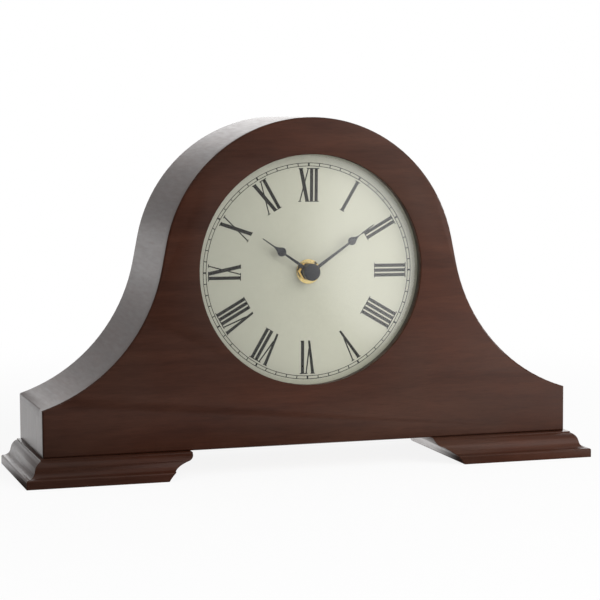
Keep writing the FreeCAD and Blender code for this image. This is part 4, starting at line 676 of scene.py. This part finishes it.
def make_minute_track(ink, centre, plane):
    shape = bmesh.new()
    half_line = TRACK_LINE / 2
    for radius in (TRACK_INNER, TRACK_OUTER):
        add_ring(shape, centre, radius - half_line, radius + half_line, plane, plane - INK_HEIGHTS["thin"])
    for minute in range(60):
        bold = minute % 5 == 0
        half = (HOUR_TICK_WIDTH if bold else TICK_WIDTH) / 2
        tick = [(-half, TRACK_INNER), (half, TRACK_INNER), (half, TRACK_OUTER), (-half, TRACK_OUTER)]
        corners = dial_outline(tick, centre, minute * 360 / 60)
        add_prism(shape, corners, plane, plane - INK_HEIGHTS["thick" if bold else "serif"])
    outward_normals(shape)
    mesh_piece("dial_minute_track", shape, ink, ROOT)


def make_dial_artwork():
    ink = moulded("dial_ink", (0.010, 0.008, 0.006), (0.45, 0.6), depth=0.004 * MM, level=0.1)
    centre = box_middle("dial_plate")
    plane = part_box("dial_plate")[0][1]
    make_numerals(ink, centre, plane)
    make_minute_track(ink, centre, plane)


def make_lens(glass):
    """The domed glass: a shallow cap of even thickness with a flat rim."""
    low, high = box_corners("glass_lens")
    rim = (high.x - low.x) / 2
    rim_front = high.y - GLASS_WALL
    rise = rim_front - low.y
    ball = (GLASS_DOME_RADIUS ** 2 + rise ** 2) / (2 * rise)
    within = ball - GLASS_WALL
    half_turn = math.asin(GLASS_DOME_RADIUS / ball)
    outer, inner = [], []
    for step in range(GLASS_ARC_STEPS + 1):
        turn = half_turn * step / GLASS_ARC_STEPS
        outer.append((ball * math.sin(turn), low.y + ball * (1 - math.cos(turn))))
        inner.append((within * math.sin(turn), low.y + ball - within * math.cos(turn)))
    inner[-1] = (inner[-1][0], high.y)
    profile = outer + [(rim, rim_front), (rim, high.y)] + inner[::-1]
    shape = revolve(profile, box_middle("glass_lens"), GLASS_ROUND_STEPS)
    piece = mesh_piece("domed_glass", shape, glass, ROOT)
    smooth_with_creases(piece, GLASS_CREASE)
    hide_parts("glass_lens")


def make_speaker_cloth():
    """The cloth stretched behind the door's sound slots. Its two faces dip a little towards each other."""
    low, high = box_corners("speaker_cloth")
    shape = bmesh.new()
    for y, dip in ((low.y, CLOTH_SLACK), (high.y, -CLOTH_SLACK)):
        grid = []
        for row in range(CLOTH_STEPS + 1):
            line = []
            for column in range(CLOTH_STEPS + 1):
                x = low.x + (high.x - low.x) * column / CLOTH_STEPS
                z = low.z + (high.z - low.z) * row / CLOTH_STEPS
                middle = math.sin(math.pi * row / CLOTH_STEPS) * math.sin(math.pi * column / CLOTH_STEPS)
                line.append(shape.verts.new((x, y + dip * middle, z)))
            grid.append(line)
        for lower, upper in zip(grid, grid[1:]):
            for column in range(CLOTH_STEPS):
                after = column + 1
                shape.faces.new((lower[column], lower[after], upper[after], upper[column]))
    outward_normals(shape)
    cloth = woven("cloth_finish", (0.035, 0.033, 0.032))
    piece = mesh_piece("grille_cloth", shape, cloth, "door")
    piece.data.shade_smooth()
    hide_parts("speaker_cloth")


def ease_edges(node, finish, width, chosen):
    """The wooden piece with its chosen sharp edges eased, as sanding and lacquer leave them."""
    shape = bmesh.new()
    shape.from_mesh(NODES[node].data)
    bmesh.ops.remove_doubles(shape, verts=shape.verts, dist=MERGE_DISTANCE)
    bmesh.ops.dissolve_limit(shape, angle_limit=FLAT_ANGLE, verts=shape.verts, edges=shape.edges)
    weights = shape.edges.layers.float.new("bevel_weight_edge")
    for edge in shape.edges:
        sharp = len(edge.link_faces) == 2 and edge.calc_face_angle() > SHARP_EDGE
        eased = sharp and all(chosen(vert.co) for vert in edge.verts)
        edge[weights] = 1.0 if eased else 0.0
        edge.smooth = eased or not sharp
    piece = mesh_piece(node + "_eased", shape, finish, ROOT)
    ease = piece.modifiers.new("Ease", "BEVEL")
    ease.width = width
    ease.segments = EASE_SEGMENTS
    ease.limit_method = "WEIGHT"
    ease.harden_normals = True
    for face in piece.data.polygons:
        face.use_smooth = True
    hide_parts(node)


def ease_case(finish, band_finish):
    """Ease the board's front edges, the feet, and the band where it ends over the shoulders."""
    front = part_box("front_board")[0][1]
    ease_edges("front_board", finish, FRONT_EASE, lambda place: abs(place.y - front) < CLOSE)
    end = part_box("tambour_band")[1][0] - CLOSE
    corner = max(vert.co.z for vert in NODES["tambour_band"].data.vertices if vert.co.x > end)
    ease_edges(
        "tambour_band",
        band_finish,
        CORNER_EASE,
        lambda place: abs(place.x) > end and abs(place.z - corner) < CLOSE,
    )
    for node in ("left_foot", "right_foot"):
        ease_edges(node, finish, FOOT_EASE, lambda place: True)


def make_turned_pull(finish):
    """The door's pull: a waisted neck under a rounded head."""
    low, high = box_corners("door_pull")
    radius, depth = (high.x - low.x) / 2, high.y - low.y
    profile = [(across * radius, low.y + out * depth) for across, out in PULL_OUTLINE_SHARES]
    shape = revolve(profile, box_middle("door_pull"), PULL_STEPS)
    piece = mesh_piece("turned_pull", shape, finish, "door")
    piece.data.shade_smooth()
    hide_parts("door_pull")


def make_coiled_spring(finish):
    """The battery contact: a plate with an open coil of wire that presses on the cell."""
    low, high = box_corners("battery_spring")
    middle = (low + high) / 2
    shape = bmesh.new()
    plate = Matrix.LocRotScale(
        Vector((low.x + CONTACT_PLATE / 2, middle.y, middle.z)),
        None,
        Vector((CONTACT_PLATE, high.y - low.y, high.z - low.z)),
    )
    bmesh.ops.create_cube(shape, size=1.0, matrix=plate)
    start, end = low.x + CONTACT_PLATE + SPRING_WIRE_RADIUS, high.x - SPRING_WIRE_RADIUS
    steps = SPRING_TURNS * SPRING_TURN_STEPS
    rings = []
    for step in range(steps + 1):
        turn = 2 * math.pi * step / SPRING_TURN_STEPS
        outwards = Vector((0, math.cos(turn), math.sin(turn)))
        axis = Vector((start + (end - start) * step / steps, middle.y, middle.z))
        ring = []
        for side in range(SPRING_WIRE_SIDES):
            around = 2 * math.pi * side / SPRING_WIRE_SIDES
            offset = outwards * math.cos(around) + Vector((math.sin(around), 0, 0))
            ring.append(shape.verts.new(axis + outwards * SPRING_RADIUS + offset * SPRING_WIRE_RADIUS))
        rings.append(ring)
    join_rings(shape, rings)
    shape.faces.new(rings[0])
    shape.faces.new(rings[-1][::-1])
    outward_normals(shape)
    piece = mesh_piece("coiled_spring", shape, finish, ROOT)
    smooth_with_creases(piece, SPRING_CREASE)
    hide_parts("battery_spring")


# Finishes of the clock's parts


def dress_case():
    lengthwise = case_finish("case_finish_lengthwise", "x")
    upright = case_finish("case_finish_upright", "z")
    ease_case(lengthwise, case_finish("case_finish_band", "y"))
    dress(upright, "left_end_panel", "right_end_panel")
    plain = wood(
        "plain_wood",
        dark=(0.30, 0.18, 0.09),
        middle=(0.42, 0.27, 0.15),
        light=(0.52, 0.35, 0.2),
        gloss=(0.6, 0.75),
        pores=0.3,
        level=0.3,
    )
    dress(plain, "bottom_board", "glue_blocks")
    board = wood(
        "back_board_finish",
        dark=(0.030, 0.014, 0.009),
        middle=(0.050, 0.023, 0.014),
        light=(0.075, 0.035, 0.021),
        gloss=(0.5, 0.65),
        pores=0.35,
        level=0.2,
    )
    dress(board, "back_board", "back_door", "dial_backing_board")
    make_turned_pull(case_finish("pull_finish", "y"))


def dress_dial():
    dress(dial_cream(), "dial_plate")
    # Dark olive on the spacer ring: painted shade for the deep recess by the opening's wall
    dress(moulded("spacer_painted_shade", (0.09, 0.088, 0.070), (0.5, 0.65)), "dial_spacer_ring")
    lacquer = moulded("hand_lacquer", (0.010, 0.010, 0.014), (0.22, 0.32), depth=0.003 * MM)
    dress(lacquer, "hour_hand", "minute_hand")
    cap = moulded("cap_lacquer", (0.012, 0.012, 0.016), (0.2, 0.3), depth=0.002 * MM, level=0.25)
    dress(cap, "hand_cap_nut")
    brass = metal("brass_finish", (0.84, 0.64, 0.28), (0.12, 0.24))
    dress(brass, "dial_washer", "bush_nut", "centre_bush")
    dress(moulded("rubber_finish", (0.02, 0.02, 0.02), (0.75, 0.9)), "rubber_washer")


def dress_hardware():
    hinge = metal("hinge_brass", (0.36, 0.25, 0.10), (0.28, 0.46), 700.0, (1, 1, 6))
    dress(hinge, "frame_hinge_leaves", "door_hinge_leaves", "hinge_pins")
    dress(metal("screw_brass", (0.30, 0.21, 0.09), (0.22, 0.36)), "frame_hinge_screws", "door_hinge_screws")
    steel = metal("steel_finish", (0.56, 0.56, 0.58), (0.22, 0.36))
    dress(
        steel,
        "foot_screws",
        "dial_board_screws",
        "minute_arbor",
        "strike_plate",
        "battery_tab",
        "quartz_crystal",
        "stator",
    )
    make_coiled_spring(steel)
    dress(moulded("catch_finish", (0.12, 0.07, 0.04), (0.45, 0.6)), "magnet_catch")


def dress_movement():
    body = moulded("movement_plastic", (0.022, 0.022, 0.024), (0.38, 0.55), 1500.0, 0.05 * MM)
    dress(body, "movement_front_case", "movement_rear_cover", "train_bridge")
    control = moulded("control_plastic", (0.05, 0.05, 0.052), (0.32, 0.45))
    dress(control, "chime_selector", "volume_slide", "setting_knob")
    gear = moulded("gear_plastic", (0.78, 0.77, 0.72), (0.35, 0.5))
    dress(gear, "hour_wheel", "minute_wheel", "centre_wheel")
    dress(gear, "third_wheel", "seconds_wheel", "intermediate_wheel")
    dress(metal("rotor_finish", (0.16, 0.16, 0.17), (0.4, 0.55)), "rotor")
    dress(wound_wire(), "coil")
    dress(printed_board(), "circuit_board")
    dress(moulded("chip_finish", (0.012, 0.012, 0.013), (0.2, 0.32)), "control_chip")
    dress(cell_jacket(), "battery_cell_left", "battery_cell_right")
    dress(moulded("speaker_paint", (0.05, 0.05, 0.055), (0.4, 0.55)), "speaker_frame")
    dress(metal("ferrite_finish", (0.09, 0.09, 0.095), (0.5, 0.65)), "speaker_magnet")
    dress(moulded("cone_card", (0.045, 0.043, 0.04), (0.75, 0.9), 900.0, 0.08 * MM), "speaker_cone")


# Stage, lights and camera

FLOOR_HALF = 6.0
FLOOR_DROP = 0.1 * MM
FLOOR_GLOW_SHARE = 0.74
FLOOR_COLOUR = (0.86, 0.86, 0.86, 1.0)
FLOOR_WHITE_NEAR = 0.88
FLOOR_FADE = (0.25, 0.75)
STUDIO_MIDDLE = Vector((0, 0, 0.12))
FEET_FRONT = Vector((0, -0.055, 0))
AMBIENT = 0.4

# What gloss mirrors: a soft window at the front right, a pale sweep behind and a dim ceiling
WINDOW_WAY = Vector((0.740, -0.667, 0.070)).normalized()
WINDOW_EDGE = (0.79, 0.96)
WINDOW_GLOW = 2.9
FRONT_GLOW = 0.06
SWEEP_GLOW = 0.66
SWEEP_LOW_GLOW = 2.6
SWEEP_LOW_EDGE = (-0.08, 0.12)
SWEEP_RIGHT_GLOW = 2.7
SWEEP_RIGHT_EDGE = (-0.10, 0.16)
SWEEP_BACK_EDGE = (0.1, 0.6)
TOP_GLOW = 0.7
TOP_EDGE = (0.35, 0.9)


def seen_directly(tree):
    """The light path, and 1 for rays from the camera and for those that went through glass."""
    path = add_node(tree, "ShaderNodeLightPath")
    return path, join(tree, "MAXIMUM", path.outputs["Is Camera Ray"], path.outputs["Is Transmission Ray"])


def window_glow(tree, direction):
    """The window's share of what gloss mirrors in a direction from the clock."""
    facing = vector_math(tree, "DOT_PRODUCT", direction, WINDOW_WAY)["Value"]
    return spread(tree, facing, FRONT_GLOW, WINDOW_GLOW, *WINDOW_EDGE, smooth=True)


def sweep_glow(tree, direction):
    """The pale sweep behind the clock: brightest low down and at the right."""
    way = axes_of(tree, direction)
    low = spread(tree, way["Z"], SWEEP_LOW_GLOW, SWEEP_GLOW, *SWEEP_LOW_EDGE, smooth=True)
    right = spread(tree, way["X"], SWEEP_GLOW, SWEEP_RIGHT_GLOW, *SWEEP_RIGHT_EDGE, smooth=True)
    behind = spread(tree, way["Y"], 0.0, 1.0, *SWEEP_BACK_EDGE, smooth=True)
    return join(tree, "MULTIPLY", join(tree, "MAXIMUM", low, right), behind)


def mirrored_glow(tree, direction):
    """How bright gloss finds the studio in a direction from the clock."""
    top = spread(tree, axes_of(tree, direction)["Z"], 0.0, TOP_GLOW, *TOP_EDGE, smooth=True)
    around = join(tree, "MAXIMUM", window_glow(tree, direction), sweep_glow(tree, direction))
    return join(tree, "MAXIMUM", around, top)


def make_world():
    """White behind the object; what gloss mirrors is bright at the back and dimmer in front."""
    world = bpy.data.worlds.new("studio")
    world.use_nodes = True
    tree = world.node_tree
    bpy.context.scene.world = world
    background = tree.nodes["Background"]
    background.inputs["Color"].default_value = (1, 1, 1, 1)
    path, direct = seen_directly(tree)
    direction = add_node(tree, "ShaderNodeTexCoord")
    mirrored = mirrored_glow(tree, direction.outputs["Generated"])
    strength = choose(tree, path.outputs["Is Glossy Ray"], AMBIENT, mirrored)
    tree.links.new(choose(tree, direct, strength, 1.0), background.inputs["Strength"])


def floor_finish():
    """Pale, and plain white to the camera but for a faint shadow near the clock."""
    material, tree, shader = new_material("floor_finish")
    shader.inputs["Base Color"].default_value = FLOOR_COLOUR
    shader.inputs["Roughness"].default_value = 0.9
    shader.inputs["Specular IOR Level"].default_value = 0.0
    path, direct = seen_directly(tree)
    place = add_node(tree, "ShaderNodeTexCoord").outputs["Object"]
    away = vector_math(tree, "SUBTRACT", place, STUDIO_MIDDLE)["Vector"]
    from_feet = vector_math(tree, "SUBTRACT", place, FEET_FRONT)["Vector"]
    window = window_glow(tree, vector_math(tree, "NORMALIZE", away)["Vector"])
    sweep = sweep_glow(tree, vector_math(tree, "NORMALIZE", from_feet)["Vector"])
    mirrored = join(tree, "MAXIMUM", window, join(tree, "MULTIPLY", sweep, FLOOR_GLOW_SHARE))
    glow = add_node(tree, "ShaderNodeEmission")
    tree.links.new(choose(tree, direct, mirrored, 1.0), glow.inputs["Strength"])
    reach = vector_math(tree, "LENGTH", away)["Value"]
    white = spread(tree, reach, FLOOR_WHITE_NEAR, 1.0, *FLOOR_FADE, smooth=True)
    seen = join(tree, "MULTIPLY", direct, white)
    glowing = join(tree, "MAXIMUM", seen, path.outputs["Is Glossy Ray"])
    mix_shaders(tree, glowing, shader.outputs["BSDF"], glow.outputs["Emission"])
    return material


def make_floor():
    shape = bmesh.new()
    bmesh.ops.create_grid(shape, x_segments=1, y_segments=1, size=FLOOR_HALF)
    floor = link_mesh("floor", shape, floor_finish())
    floor.location.z = -FLOOR_DROP


def add_softbox(name, azimuth, elevation, distance, size, power):
    """A soft lamp that faces the clock. Azimuth 0 is straight in front, positive to the right."""
    lamp = bpy.data.lights.new(name, "AREA")
    lamp.shape = "RECTANGLE"
    lamp.size, lamp.size_y = size
    lamp.energy = power
    turn, lift = math.radians(azimuth), math.radians(elevation)
    away = Vector((math.sin(turn) * math.cos(lift), -math.cos(turn) * math.cos(lift), math.sin(lift)))
    holder = bpy.data.objects.new(name, lamp)
    holder.location = STUDIO_MIDDLE + away * distance
    holder.rotation_euler = (-away).to_track_quat("-Z", "Y").to_euler()
    holder.visible_camera = False
    holder.visible_glossy = False
    holder.visible_transmission = False
    bpy.context.scene.collection.objects.link(holder)


def make_lights():
    add_softbox("key_softbox", azimuth=34, elevation=24, distance=1.5, size=(1.3, 1.3), power=20.0)
    add_softbox("top_softbox", azimuth=10, elevation=80, distance=1.4, size=(1.2, 0.9), power=5.0)


def make_camera():
    forward = Vector((
        math.sin(CAMERA_YAW) * math.cos(CAMERA_PITCH),
        math.cos(CAMERA_YAW) * math.cos(CAMERA_PITCH),
        -math.sin(CAMERA_PITCH),
    ))
    right = Vector((math.cos(CAMERA_YAW), -math.sin(CAMERA_YAW), 0))
    down = forward.cross(right)
    across = right * math.cos(CAMERA_ROLL) + down * math.sin(CAMERA_ROLL)
    up = right * math.sin(CAMERA_ROLL) - down * math.cos(CAMERA_ROLL)
    lens = bpy.data.cameras.new("camera")
    lens.lens = CAMERA_LENS
    lens.sensor_width = CAMERA_SENSOR
    camera = bpy.data.objects.new("camera", lens)
    axes = Matrix((across, up, -forward)).transposed()
    camera.matrix_world = Matrix.Translation(CAMERA_PLACE) @ axes.to_4x4()
    bpy.context.scene.collection.objects.link(camera)
    bpy.context.scene.camera = camera


def main():
    bpy.context.scene.view_settings.view_transform = "Standard"
    make_camera()
    make_world()
    make_floor()
    make_lights()
    dress_case()
    dress_dial()
    dress_hardware()
    dress_movement()
    make_dial_artwork()
    make_lens(clear_glass())
    make_speaker_cloth()


main()
